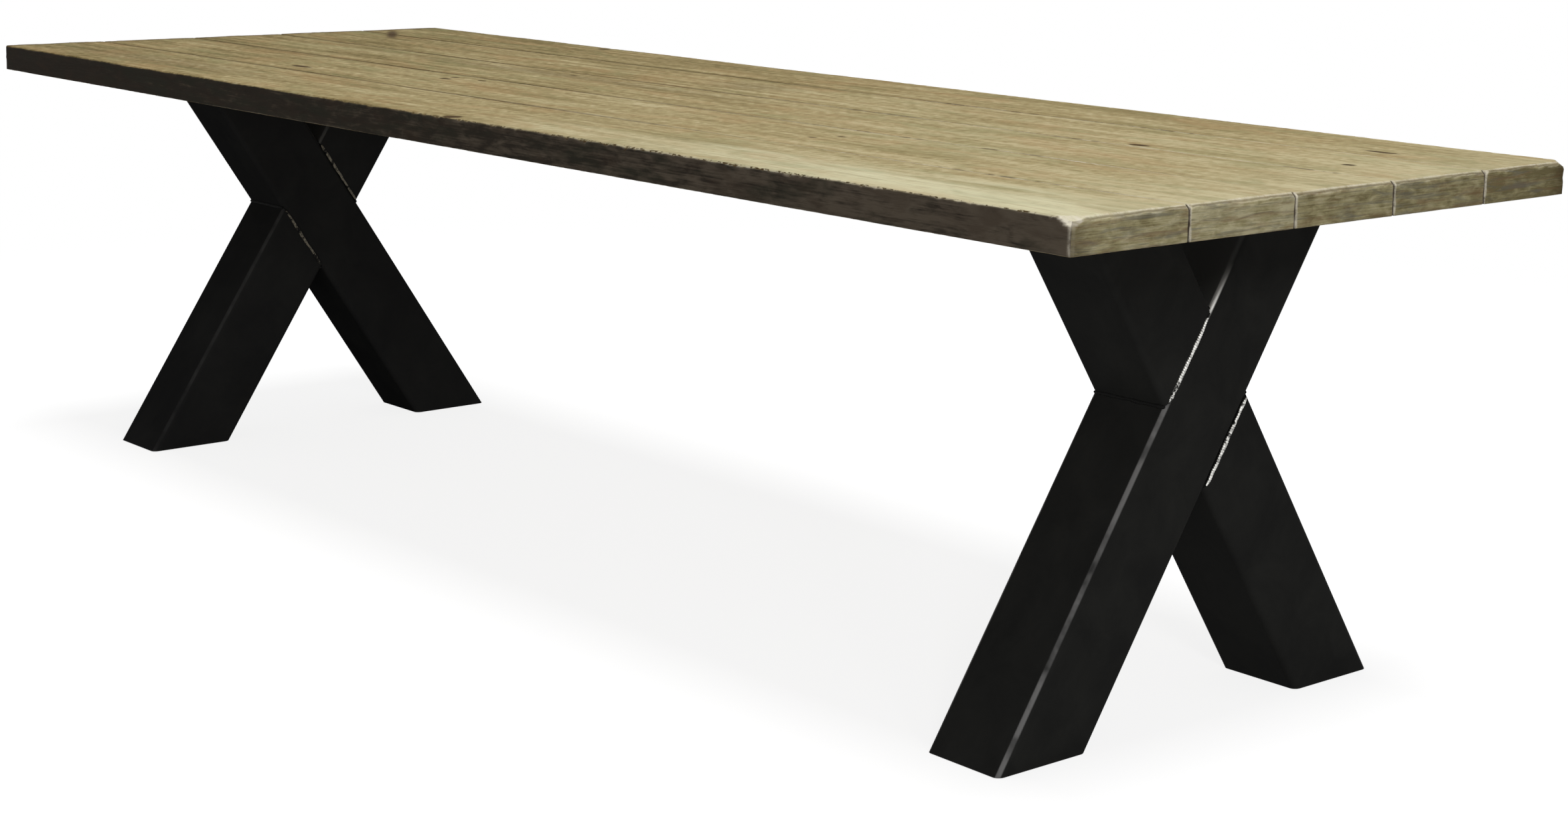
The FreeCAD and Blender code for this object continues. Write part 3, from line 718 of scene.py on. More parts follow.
@dataclass(frozen=True)
class PowderCoat(Finish):
    """Matt black powder coat on steel, baked on.

    Nearly black and without shine, with the faint orange-peel ripple of melted powder, and
    patches that handling has dulled. A painted highlight runs along the leaning tubes' upper front
    corners: a thin grey line, and bare-looking bright metal just above the crossing. A paler grey in
    the crook is painted light that lifts its shade.
    """

    # Name, and how strong the painted highlight on the corners is.
    name: str
    highlight_share: float
    # The paint, its dulled patches, and painted light: the grey painted highlight on the corners,
    # the bright one shown as bare metal, and the paler grey that lifts the crook's shade.
    black: str = "#2b2b2a"
    greyed: str = "#343432"
    rub_and_highlight: str = "#929190"
    # The bright painted highlight above the crossing, shown as bare metal.
    bare: str = "#d9d8d4"
    crook_fill_light: str = "#4c4c4a"
    # Level of its shine, which is next to nothing.
    gloss: float = 0.004
    # Heights of the crook's foot and of the top of the bright painted highlight, and how soon the
    # grey painted highlight gives way.
    crook_mm: Pair = (588.0, 652.0)
    fade_mm: float = 20.0
    # The ripple, and its relief's strength and depth in millimetres.
    peel: Pattern = Pattern((2.2, 2.2, 2.2), 2.0)
    relief: Pair = (0.6, 0.05)
    # The patches, and where they start and end on their noise.
    patch: Pattern = Pattern((90.0, 90.0, 90.0), 5.0, 0.4)
    patch_places: Pair = (0.35, 0.7)
    # How the painted highlight comes and goes, which way a highlit corner faces, and how far
    # upwards a face in the crook turns to take its painted light.
    rub: Pattern = Pattern((60.0, 60.0, 60.0), 3.0)
    uneven_span: Span = (0.3, 0.6)
    corner_span: Span = (-0.085, -0.155)
    flat_span: Span = (0.3, 0.5)
    rough_span: Span = (0.0, 1.0, 0.4, 0.55)

    def surface(self, tree: Tree, spot: Socket) -> dict[str, Any]:
        """Work the surface out from its patches and its painted light.

        Args:
            tree: the finish's nodes.
            spot: the object's coordinates, in metres.

        Returns:
            The values of the surface's inputs.
        """
        patch, peel = self.patch.add(tree, spot), self.peel.add(tree, spot)
        stops = tuple(zip(self.patch_places, (self.black, self.greyed)))
        colour = add_node(tree, Kind.RAMP, {"stops": stops}, {"Fac": patch})
        # Painted light: a paler grey in the crook, and a grey and a bright painted highlight on the
        # corners.
        greyed, rub_and_highlight, bare = self._wear(tree, spot)
        layers = ((greyed, self.crook_fill_light), (rub_and_highlight, self.rub_and_highlight), (bare, self.bare))
        strength, depth = self.relief
        relief = {"Strength": strength, "Distance": depth * MM, "Height": peel}
        return {
            "Base Color": layered(tree, colour, *layers),
            "Metallic": bare,
            "Roughness": add_node(tree, Kind.RANGE, {}, spanned(patch, self.rough_span)),
            "Specular IOR Level": self.gloss,
            "Normal": add_node(tree, Kind.BUMP, {}, relief),
        }

    def _wear(self, tree: Tree, spot: Socket) -> tuple[Socket, ...]:
        """Find where light is painted: the paler crook and the highlit corners.

        A corner with a painted highlight is round and faces up, to the front and to an end of the
        table. The normal's share along the table, to the front and upwards are multiplied. On a flat
        face one of them is nothing, and the product is largest in the middle of such a corner.

        Args:
            tree: the finish's nodes.
            spot: the coordinates, in metres.

        Returns:
            How much painted light a place takes: the crook's paler grey, the grey painted highlight
            and the bright one.
        """
        foot, top = (height * MM for height in self.crook_mm)
        normal = add_node(tree, Kind.COORDINATES, out="Normal")
        x, y, z = (add_node(tree, Kind.AXES, {}, {"Vector": normal}, name) for name in "XYZ")
        endwards = add_node(tree, Kind.MATH, {"operation": "ABSOLUTE"}, {0: x})
        upwards = add_node(tree, Kind.MATH, LARGER, {0: z, 1: 0.0})
        facing = add_node(tree, Kind.MATH, MULTIPLY, {0: endwards, 1: upwards})
        facing = add_node(tree, Kind.MATH, MULTIPLY, {0: facing, 1: y})
        height = add_node(tree, Kind.AXES, {}, {"Vector": spot}, "Z")
        below = spanned(height, (foot, foot - self.fade_mm * MM))
        lower = add_node(tree, Kind.RANGE, {}, below)
        upper = add_node(tree, Kind.MATH, {"operation": "SUBTRACT"}, {0: 1.0, 1: lower})
        corner, fading, flat = (
            add_node(tree, Kind.RANGE, SMOOTH, spanned(value, span))
            for value, span in (
                (facing, (*self.corner_span, 0.0, self.highlight_share)),
                (height, (top, foot)),
                (z, self.flat_span),
            )
        )
        coming = spanned(self.rub.add(tree, spot), self.uneven_span)
        uneven = add_node(tree, Kind.RANGE, {}, coming)
        # Painted light: upward faces above the crook's foot, the grey highlight on the corners below it
        # and the bright one above it, fading upwards.
        found = []
        for whole, *parts in ((flat, upper), (corner, uneven, lower), (corner, fading, upper)):
            for part in parts:
                whole = add_node(tree, Kind.MATH, MULTIPLY, {0: whole, 1: part})
            found.append(whole)
        return tuple(found)


@dataclass(frozen=True)
class WeldBead(Finish):
    """Bare weld metal, laid in overlapping ripples and brushed through its black paint.

    Bright silver on the crests, black where paint is left in the dips.
    """

    name: str
    # Colours of the crests, of the duller flecks and of the paint left on it.
    bright: str
    dull: str
    paint: str = "#232322"
    # The flecks, and where dull turns to bright on their noise.
    fleck: Pattern = Pattern((5.0, 5.0, 5.0), 4.0)
    fleck_places: Pair = (0.35, 0.6)
    # Where the sum of the beads' mark and the flecks turns to bare metal.
    bare_span: Span = (0.85, 1.1)
    rough_span: Span = (0.0, 1.0, 0.3, 0.5)
    gloss: float = 0.02

    def surface(self, tree: Tree, spot: Socket) -> dict[str, Any]:
        """Work the surface out from the flecks and the beads' mark "bare".

        Args:
            tree: the finish's nodes.
            spot: the object's coordinates, in metres.

        Returns:
            The values of the surface's inputs.
        """
        bare = add_node(tree, Kind.ATTRIBUTE, {"attribute_name": "bare"}, out="Fac")
        fleck = self.fleck.add(tree, spot)
        stops = tuple(zip(self.fleck_places, (self.dull, self.bright)))
        metal = add_node(tree, Kind.RAMP, {"stops": stops}, {"Fac": fleck})
        spread = add_node(tree, Kind.MATH, ADD, {0: bare, 1: fleck})
        shown = add_node(tree, Kind.RANGE, SMOOTH, spanned(spread, self.bare_span))
        return {
            "Base Color": layered(tree, self.paint, (shown, metal)),
            "Metallic": shown,
            "Roughness": add_node(tree, Kind.RANGE, {}, spanned(fleck, self.rough_span)),
            "Specular IOR Level": self.gloss,
        }


@dataclass(frozen=True)
class PlainFinish(Finish):
    """A finish of two shades that mottle into each other, for the small hidden pieces."""

    name: str
    shades: Stops
    grain: Pattern
    # Roughness over the mottling, 1 for bare metal, and depth and strength of the relief.
    rough_span: Span
    metallic: float = 0.0
    depth_mm: float = 0.05
    strength: float = 0.6

    def surface(self, tree: Tree, spot: Socket) -> dict[str, Any]:
        """Work the surface out from its mottling.

        Args:
            tree: the finish's nodes.
            spot: the object's coordinates, in metres.

        Returns:
            The values of the surface's inputs.
        """
        grain = self.grain.add(tree, spot)
        relief = {"Strength": self.strength, "Distance": self.depth_mm * MM, "Height": grain}
        return {
            "Base Color": add_node(tree, Kind.RAMP, {"stops": self.shades}, {"Fac": grain}),
            "Metallic": self.metallic,
            "Roughness": add_node(tree, Kind.RANGE, {}, spanned(grain, self.rough_span)),
            "Normal": add_node(tree, Kind.BUMP, {}, relief),
        }


# Black paint of the right leg, with a strong painted highlight on its corners, and of the left
# leg, where that highlight is faint and the black a touch paler, painted light for its dimmer light.
STRONG_HIGHLIGHT_PAINT = PowderCoat("powder_coat_strong_highlight", 0.95)
FAINT_HIGHLIGHT_PAINT = PowderCoat("black_powder_coat", 0.14, "#2d2d2d", "#343433", gloss=0.0)
# Weld beads brushed bright on the right leg, and a darker copy on the left leg: painted shade
# for the dimmer light there.
BRUSHED_BEAD = WeldBead("brushed_weld_metal", "#dcdbd6", "#8b8a86")
SHADED_BEAD = WeldBead("shaded_weld_metal", "#5b564b", "#37342d")
# Zinc plate on screws and washers: pale blue-grey spangle, half bright.
ZINC = PlainFinish(
    "zinc_plate",
    ((0.38, "#9a9ca0"), (0.62, "#c9cbcc")),
    Pattern((6.0, 6.0, 6.0), 5.0),
    (0.0, 1.0, 0.32, 0.5),
    metallic=1.0,
)
# Loose tongues of clean sawn pine, never weathered because the grooves hide them.
TONGUE = PlainFinish(
    "sawn_pine",
    ((0.38, "#a98a5c"), (0.62, "#c9ad7c")),
    Pattern((120.0, 2.5, 2.5), 5.0),
    (0.0, 1.0, 0.7, 0.85),
    depth_mm=0.2,
)
# Moulded black polythene glides, dull and finely pitted.
GLIDE = PlainFinish(
    "moulded_polythene",
    ((0.38, "#151515"), (0.62, "#232322")),
    Pattern((3.0, 3.0, 3.0), 5.0),
    (0.0, 1.0, 0.5, 0.65),
)


@dataclass(frozen=True)
class Board:
    """One board of the top.

    Attributes:
        node: the plain board that it stands for.
        tone: its upper face's shade, from 0, dark, to 1, pale.
        sawn_tone: its ends' shade, from 0 to 1, partly its own and partly painted shade: mostly darker
            for the boards towards the back, where less light falls.
        seed: the seed of its wear.
        free_sides: which of its long sides, low and high Y, is an outer side of the table.
    """

    node: str
    tone: float
    sawn_tone: float
    seed: int
    free_sides: tuple[bool, bool] = (False, False)


@dataclass(frozen=True)
class Knot:
    """A dark knot, split or stain in the upper face, in millimetres.

    Attributes:
        x: its middle along the table.
        y: its middle across the table.
        length: half its length along the grain.
        width: half its width across the grain.
        depth: how far the face sinks there.
        dirt: how dark its middle is; what is over 1 makes its dark part broader.
        turn: how far its length is turned from +X towards +Y, in degrees.
    """

    x: float
    y: float
    length: float
    width: float
    depth: float = 1.0
    dirt: float = 1.8
    turn: float = 0.0


@dataclass(frozen=True)
class Arris:
    """An edge between two faces of a board.

    Attributes:
        faces: axis and side of the two faces.
        bevel_mm: how broadly it is rubbed down.
        paleness: how pale its rubbed wood is.
        dirt: how dark it is between two pale lines, or 0 where it has none; on the back uprights and the
            left end that darkening is painted shade.
        chips: how chipped it is.
    """

    faces: tuple[tuple[int, int], tuple[int, int]]
    bevel_mm: float
    paleness: float
    dirt: float = 0.0
    chips: float = 0.0


@dataclass
class WornBoard:
    """A board while it is being worn.

    Attributes:
        board: the board.
        box: its lowest and highest corners.
        points: its points, which wear moves.
        first: the points before wear.
        inner: their first distances from the low and high faces across each axis.
        on_face: which points lie on those faces.
        marks: what each point tells the finish.
    """

    board: Board
    box: Array
    points: Array
    first: Array
    inner: Array
    on_face: Array
    marks: dict[str, Array]

    @classmethod
    def of_skin(cls, board: Board, box: Array, points: Array) -> "WornBoard":
        """Take a plain skin to be worn.

        Args:
            board: the board.
            box: its lowest and highest corners.
            points: its skin's points, which wear will move.

        Returns:
            The board before any wear.
        """
        inner = np.stack([points - box[LOW], box[HIGH] - points])
        marks = {name: np.zeros(len(points)) for name in BOARD_MARKS}
        marks["tone"] += board.tone
        marks["sawn"] += board.sawn_tone
        return cls(board, box, points, points.copy(), inner, inner < ON_FACE, marks)

    def mark(self, name: str, amount: Array) -> None:
        """Raise a mark to an amount wherever it is less."""
        self.marks[name] = np.maximum(self.marks[name], amount)

    def off(self, axis: int, side: int) -> Array:
        """How far the points, as they are now, lie inside a face of the plain board."""
        return INWARDS[side] * (self.points[:, axis] - self.box[side, axis])


@dataclass
class PlankTop:
    """The five worn boards of the top.

    Pairs are for the low and high side or end, or for a wave's two ways along a face, unless a
    comment says otherwise.
    """

    # Pitch of the surface's points, and distances from an arris of those that carry its wear.
    length_pitch_mm: float = 4.6
    width_pitch_mm: float = 6.0
    depth_pitch_mm: float = 6.0
    crowding_mm: tuple[float, ...] = (0.0, 0.7, 1.6, 3.0, 5.0, 8.0, 12.0)
    # Play between the stiffener and its trench, and how far the trench's walls lean.
    channel_room_mm: float = 0.3
    wall_mm: float = 0.05
    # Waves and cup of the upper face, waves of an outer side, saw marks of an end.
    warp_mm: float = 0.8
    warp_wave_mm: Pair = (210.0, 70.0)
    cup_mm: float = 0.5
    hew_mm: float = 1.2
    hew_wave_mm: Pair = (95.0, 17.0)
    saw_mm: float = 0.7
    saw_wave_mm: Pair = (34.0, 5.0)
    # How far a board's side stands back at a seam, how much further at its ends, and how far
    # that reaches.
    seam_gape_mm: float = 0.5
    end_gape_mm: float = 0.3
    gape_reach_mm: float = 25.0
    # Widths of the rubbed arrises, the least share of them, and what long and short waves add.
    seam_bevel_mm: float = 2.4
    outer_bevel_mm: float = 4.2
    end_bevel_mm: float = 6.0
    upright_bevel_mm: float = 3.6
    corner_bevel_mm: float = 6.5
    under_bevel_mm: float = 1.6
    bevel_shares: Triple = (0.55, 0.5, 0.4)
    bevel_waves_mm: Pair = (45.0, 7.0)
    # Share of a bevel over which it turns bare; middle and width of its two pale lines;
    # paleness between the lines and what a line adds.
    rub_share: float = 0.16
    line_places: tuple[Pair, ...] = ((0.17, 0.2), (0.92, 0.1))
    line_shares: Pair = (0.2, 0.8)
    # Paleness of the bare wood. At ends and corners, the darkening between the lines comes with it;
    # at the back corners and the left end it is painted shade.
    outer_paleness: float = 0.3
    seam_paleness: float = 1.1
    upright_paleness: float = 1.0
    under_paleness: float = 0.2
    end_wear_and_shade: tuple[Pair, ...] = ((0.2, 0.42), (1.0, 0.36))
    corner_wear_and_shade: tuple[Pair, ...] = ((0.8, 0.3), (0.15, 0.5))
    # How chipped the outer sides are, how rough at mid-length and at least; depth, length and
    # dirt of a chip, and length of the spells of more and fewer; where a chip starts on its noise,
    # the rise over which it is whole, and what a spell adds.
    chip_shares: Pair = (1.0, 0.35)
    chip_rough: Pair = (0.6, 0.3)
    chip_mm: float = 5.0
    chip_length_mm: float = 11.0
    chip_dirt: float = 0.55
    chip_spell_mm: float = 400.0
    chip_bite: Triple = (0.92, 0.3, 0.35)
    # How far the right corners, the left corners and the boards' inner corners are knocked off
    # along X, Y and Z, and the depth at which that is bare.
    corner_mm: tuple[Triple, Triple] = ((33.0, 36.0, 17.0), (22.0, 27.0, 13.0))
    far_corner_mm: Triple = (9.0, 9.0, 7.0)
    notch_mm: Triple = (11.0, 11.0, 11.0)
    corner_rub_mm: float = 1.0
    # Where along the table the seams turn from painted shadow to worn bare, and how long that takes.
    worn_from_mm: float = -200.0
    worn_over_mm: float = 1200.0
    # Width of the dark line beside a worn seam and what a shadowed one adds; darkness of a
    # shadowed seam, which is painted shadow, and dirt of a worn one and of its dashes; length of a
    # dash and of a group of dashes; the noise's rise over which a dash is whole; the groups'
    # strength and what is taken off it.
    seam_darkening_mm: Pair = (5.0, 4.0)
    seam_darkening_shares: Triple = (0.37, 0.2, 0.26)
    dash_mm: Pair = (11.0, 230.0)
    dash_rise: float = 0.2
    group_shares: Pair = (2.2, 0.7)
    # Darkening of the right end beside its outer corners, painted shade at the back one; painted
    # shade along the left end; painted shadow at the left on a seam's arrises; dirt inside a seam.
    # The last starts so far down, and so far from the ends, and is full after so much more.
    corner_darkening: Pair = (0.36, 0.42)
    corner_darkening_mm: float = 42.0
    left_end_shade: float = 0.55
    left_end_shade_mm: float = 28.0
    seam_arris_shadow: float = 0.5
    seam_dirt: float = 0.9
    seam_dirt_mm: tuple[Pair, Pair] = ((1.5, 2.5), (5.0, 4.0))
    # Depth below the upper face at which a side or end has its full colour.
    rim_mm: float = 2.0
    # Bleaching: its reach from the front side, its sway and its soft edge; where it starts and
    # how long until it is full; how far it goes past that; the clouds' size; its share at the
    # arris, its gain inwards, its least by cloud and what a full cloud adds.
    bleach_mm: Triple = (95.0, 50.0, 22.0)
    bleach_run_mm: Pair = (100.0, 850.0)
    bleach_most: float = 1.5
    bleach_cloud_mm: Pair = (240.0, 24.0)
    bleach_shares: tuple[float, ...] = (0.58, 0.5, 0.75, 1.0)
    # Bleaching at the right end.
    end_bleach: float = 0.45
    end_bleach_mm: float = 160.0
    # Seeds kept for each board's arrises, and how far on the seeds of an arris's chips are.
    arris_seeds: int = 100
    chip_seeds: int = 50

    # The ends' tones are partly painted shade, mostly darker towards the back, where less light falls.
    boards: tuple[Board, ...] = (
        Board("front_plank", 0.62, 0.60, 11, (True, False)),
        Board("front_inner_plank", 0.58, 0.86, 12),
        Board("middle_plank", 0.46, 0.50, 13),
        Board("back_inner_plank", 0.55, 0.42, 14),
        Board("back_plank", 0.10, 0.15, 15, (False, True)),
    )
    knots: tuple[Knot, ...] = (
        Knot(-1348, 312, 140, 15, 0.0, 0.62, -31.5),
        Knot(-400, 60, 900, 42, 0.0, 0.29),
        Knot(0, 220, 180, 100, 0.0, 0.27),
        Knot(-1000, -400, 650, 75, 0.0, 0.27),
        Knot(-759, -243, 26, 6, 1.5),
        Knot(-408, -155, 11, 6),
        Knot(-422, -126, 7, 5),
        Knot(-343, -121, 7, 5),
        Knot(998, 128, 16, 6, 1.5),
        Knot(1327, 198, 9, 5),
        Knot(1260, 357, 24, 5),
        Knot(676, -165, 10, 3, 0.6, 1.0),
        Knot(659, -208, 10, 3, 0.6, 1.0),
        Knot(-642, 107, 9, 6, 0.6, 0.7),
        Knot(-348, 78, 10, 6, 0.6, 0.7),
        Knot(116, 33, 8, 5, 0.6, 0.6),
        Knot(-806, 478, 16, 14, 1.0, 0.8),
        Knot(130, -488, 13, 11, 1.5),
    )

    def build(self, finish: Material) -> None:
        """Make every board and let it stand for the plain one.

        Args:
            finish: the boards' material.
        """
        for board in self.boards:
            box = node_box(board.node)
            shell = self._blank(box)
            worn = WornBoard.of_skin(board, box, shell.points)
            self._wave(worn)
            self._gape(worn)
            for number, arris in enumerate(self._arrises(board)):
                self._cut_arris(worn, arris, board.seed * self.arris_seeds + number)
            self._cut_corners(worn)
            self._sink_knots(worn)
            self._weather(worn)
            self._trench(shell)
            points, faces, kept = shell.welded()
            marks = {name: values[kept] for name, values in worn.marks.items()}
            piece = put_mesh(f"worn_{board.node}", points, faces, marks, finish)
            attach(piece, BODY)
            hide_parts(board.node)
            LOG.info("%s: %d triangles", piece.name, len(faces))

    def _channel_box(self) -> Array:
        """Box of the stiffener's trench: the stiffener with its play all round."""
        room = self.channel_room_mm * MM
        return node_box("stiffener_channel") + np.array([[-room, -room, 0.0], [room, room, 0.0]])

    def _blank(self, box: Array) -> Shell:
        """Grid of a board before wear, with extra stations at the walls of the trench.

        Args:
            box: the board's lowest and highest corners.

        Returns:
            The board's skin.
        """
        pitches = (self.length_pitch_mm, self.width_pitch_mm, self.depth_pitch_mm)
        stations = [graded(*ends, self.crowding_mm, pitch) for ends, pitch in zip(box.T, pitches)]
        trench = self._channel_box()
        for axis in (X, Y):
            outer = trench[:, axis] - np.array(INWARDS) * self.wall_mm * MM
            walls = np.concatenate([trench[:, axis], outer])
            inside = (walls > box[LOW, axis]) & (walls < box[HIGH, axis])
            stations[axis] = np.unique(np.concatenate([stations[axis], walls[inside]]))
        return Shell.of_stations(*stations)

    def _trench(self, shell: Shell) -> None:
        """Lift the underside to the stiffener's web wherever the stiffener runs.

        Args:
            shell: the board's skin, which is changed.
        """
        trench = self._channel_box()
        slack = self.wall_mm * MM / 2
        x, y, z = shell.points.T
        inside = (np.abs(x) <= trench[HIGH, X] + slack) & (np.abs(y) <= trench[HIGH, Y] + slack)
        shell.points[:, Z] = np.where(inside, np.maximum(z, trench[HIGH, Z]), z)

    def _rightward(self, along: Array) -> Array:
        """How far a place along the table has turned from shadowed to worn, from 0 to 1."""
        return share(along, self.worn_from_mm * MM, self.worn_over_mm * MM)

    def _wave(self, worn: WornBoard) -> None:
        """Cup and warp the upper face, hew the outer sides and saw the ends.

        Each face moves inwards by its depth times noise of the face's two parameters. The upper
        face also falls by the cup times the square of the share from its middle to an arris.

        Args:
            worn: the board.
        """
        box, points, seed = worn.box, worn.points, worn.board.seed
        x, y, z = worn.first.T / MM
        low, high = box / MM
        rise = (z - low[Z]) / (high[Z] - low[Z])
        long, broad = self.warp_wave_mm
        swell = value_noise(x / long, y / broad, seed)
        cup = ((2 * y - low[Y] - high[Y]) / (high[Y] - low[Y])) ** 2
        points[:, Z] -= rise * (self.warp_mm * swell + self.cup_mm * cup) * MM
        for side, way in enumerate(INWARDS):
            long, broad = self.hew_wave_mm
            hewn = value_noise(x / long, z / broad, seed + 1 + side)
            long, broad = self.saw_wave_mm
            sawn = value_noise(y / long, z / broad, seed + 3 + side)
            if worn.board.free_sides[side]:
                points[:, Y] += way * worn.on_face[side, :, Y] * self.hew_mm * MM * hewn
            points[:, X] += way * worn.on_face[side, :, X] * self.saw_mm * MM * sawn

    def _gape(self, worn: WornBoard) -> None:
        """Open the seams: both boards stand back, and further towards their ends.

        A side moves inwards by the seam's gape plus the end's gape times exp(-d / reach), d
        being the distance from the nearer end. The points between move in proportion.

        Args:
            worn: the board.
        """
        from_end = np.minimum(worn.off(X, LOW), worn.off(X, HIGH))
        back = self.seam_gape_mm + self.end_gape_mm * np.exp(-from_end / (self.gape_reach_mm * MM))
        across = worn.off(Y, LOW) / (worn.box[HIGH, Y] - worn.box[LOW, Y])
        low, high = (0.0 if free else 1.0 for free in worn.board.free_sides)
        worn.points[:, Y] += back * MM * (low * (1 - across) - high * across)

    def _arrises(self, board: Board) -> list[Arris]:
        """List a board's twelve arrises.

        Args:
            board: the board.

        Returns:
            The arrises.
        """
        found = []
        for side in (LOW, HIGH):
            along, across = (Y, side), (X, side)
            under = (self.under_bevel_mm, self.under_paleness)
            if board.free_sides[side]:
                long = (self.outer_bevel_mm, self.outer_paleness, 0.0, self.chip_shares[side])
                upright = (self.corner_bevel_mm, *self.corner_wear_and_shade[side])
            else:
                long = (self.seam_bevel_mm, self.seam_paleness)
                upright = (self.upright_bevel_mm, self.upright_paleness)
            found.append(Arris((along, (Z, HIGH)), *long))
            found.append(Arris((along, (Z, LOW)), *under))
            found.append(Arris((across, (Z, HIGH)), self.end_bevel_mm, *self.end_wear_and_shade[side]))
            found.append(Arris((across, (Z, LOW)), *under))
            found += [Arris(((X, end), along), *upright) for end in (LOW, HIGH)]
        return found

    def _cut_arris(self, worn: WornBoard, arris: Arris, seed: int) -> None:
        """Rub one arris down, unevenly, with chips where it is an outer one.

        The arris is cut by a plane: where the distances from the two faces add up to less than
        the bevel, a point moves inwards along both by half of what is missing. A darkened arris
        keeps two pale lines, each a bell across the bevel.

        Args:
            worn: the board.
            arris: the arris.
            seed: the seed of this arris's noise.
        """
        (axis_a, side_a), (axis_b, side_b) = arris.faces
        along = worn.points[:, X + Y + Z - axis_a - axis_b]
        off_a, off_b = worn.off(axis_a, side_a), worn.off(axis_b, side_b)
        least, wave, teeth = self.bevel_shares
        wave_mm, teeth_mm = self.bevel_waves_mm
        waves = wave * line_noise(along, wave_mm, seed)
        ragged = teeth * line_noise(along, teeth_mm, seed, TEETH_ROW)
        size = arris.bevel_mm * (least + waves + ragged) * MM
        chip, rough = np.zeros_like(along), 0.0
        if arris.chips:
            chip, rough = self._chips(along, arris.chips, seed)
            size = size + chip * self.chip_mm * MM
        depth = np.clip(size - off_a - off_b, 0, None) / 2
        for axis, side in arris.faces:
            worn.points[:, axis] += INWARDS[side] * depth
        rub_and_highlight = np.clip(depth / (self.rub_share * size), 0, 1)
        pale = arris.paleness
        if arris.dirt:
            place = 0.5 + (off_b - off_a) / (2 * size)
            line = sum(hump(place, *where) for where in self.line_places) * rub_and_highlight
            between, gain = self.line_shares
            pale = pale * (between + gain * line)
            worn.mark("grime", arris.dirt * rub_and_highlight * (1 - line))
        worn.mark("ragged", rub_and_highlight * rough)
        # A long upper arris is worn bare at the right; at a seam it is darkened at the left, painted
        # shadow of the seam.
        if (axis_a, side_b) == (Y, HIGH):
            right = self._rightward(along)
            worn.mark("grime", self.seam_arris_shadow * rub_and_highlight * (1 - right) * (not arris.chips))
            pale = pale * right
        worn.mark("wear", pale * rub_and_highlight * (1 - chip))
        worn.mark("grime", self.chip_dirt * rub_and_highlight * chip)

    def _chips(self, along: Array, chips: float, seed: int) -> tuple[Array, Array]:
        """Chip an outer arris, more towards the right.

        A chip is where short noise stands high, which long noise lets happen more or less often.

        Args:
            along: place along the arris, in metres.
            chips: how chipped it is.
            seed: the seed of this arris's noise.

        Returns:
            How deep a chip is, and how rough the arris is, each from 0 to 1.
        """
        bite = line_noise(along, self.chip_length_mm, seed + self.chip_seeds)
        often = line_noise(along, self.chip_spell_mm, seed + self.chip_seeds + 1)
        middle, least = self.chip_rough
        start, rise, spell = self.chip_bite
        rough = chips * np.clip(middle + along / (self.worn_over_mm * MM), least, 1)
        return rough * share(bite + spell * often, start, rise), rough

    def _cut_corners(self, worn: WornBoard) -> None:
        """Knock off the four upper corners of a board.

        A corner is cut by a plane: where the distances from the three faces, as shares of the
        corner's reach along each, add up to less than 1, a point moves in by a third of what
        is missing along each.

        Args:
            worn: the board.
        """
        for end, side in ((end, side) for end in (LOW, HIGH) for side in (LOW, HIGH)):
            outer = self.corner_mm[side] if end == HIGH else self.far_corner_mm
            reach_mm = outer if worn.board.free_sides[side] else self.notch_mm
            faces = tuple(zip((X, Y, Z), (end, side, HIGH), np.array(reach_mm) * MM))
            gap = sum(worn.off(axis, face) / reach for axis, face, reach in faces)
            depth = np.clip(1 - gap, 0, None) / 3
            for axis, face, reach in faces:
                worn.points[:, axis] += INWARDS[face] * depth * reach
            rub_and_highlight = np.clip(depth * min(reach_mm) / self.corner_rub_mm, 0, 1)
            worn.mark("wear", rub_and_highlight)
            for name in ("grime", "ragged"):
                worn.marks[name] *= 1 - rub_and_highlight

    def _sink_knots(self, worn: WornBoard) -> None:
        """Sink and darken the knots: both follow exp(-r^2), r measured in knot radii.

        Args:
            worn: the board.
        """
        x, y, _ = worn.first.T / MM
        for knot in self.knots:
            cosine, sine = math.cos(math.radians(knot.turn)), math.sin(math.radians(knot.turn))
            along = ((x - knot.x) * cosine + (y - knot.y) * sine) / knot.length
            across = ((y - knot.y) * cosine - (x - knot.x) * sine) / knot.width
            core = worn.on_face[HIGH, :, Z] * np.exp(-(along**2) - across**2)
            worn.points[:, Z] -= knot.depth * MM * core
            worn.mark("grime", np.clip(knot.dirt * core, 0, 1))

    def _weather(self, worn: WornBoard) -> None:
        """Note on each point which face it is of, how dark it is from dirt and painted shade, and how
        bleached.

        Args:
            worn: the board.
        """
        inner, on_face, marks = worn.inner / MM, worn.on_face, worn.marks
        upper, right_end = on_face[HIGH, :, Z], on_face[HIGH, :, X]
        below = share(inner[HIGH, :, Z], 0, self.rim_mm)
        down, from_end = self.seam_dirt_mm
        inside = share(inner[HIGH, :, Z], *down) * share(inner[:, :, X].min(axis=0), *from_end)
        for side in (LOW, HIGH):
            from_side, on_side = inner[side, :, Y], on_face[side, :, Y]
            worn.mark("side", on_side * below)
            worn.mark("end", on_face[side, :, X] * below)
            if worn.board.free_sides[side]:
                # Darkening of the right end beside an outer corner; at the back corner it is painted
                # shade.
                corner = self.corner_darkening[side] * hump(from_side, 0, self.corner_darkening_mm)
                worn.mark("grime", corner * right_end * below)
            else:
                worn.mark("grime", self.seam_dirt * on_side * inside)
                # Beside a seam: painted shadow of the seam at the left, dirt at the right.
                seam_darkening = self._seam_darkening(worn.first[:, X], from_side, worn.board.seed + side)
                worn.mark("grime", seam_darkening * upper)
        if worn.board.free_sides[LOW]:
            worn.mark("bleach", self._bleach(worn))
        worn.mark("bleach", self.end_bleach * hump(inner[HIGH, :, X], 0, self.end_bleach_mm))
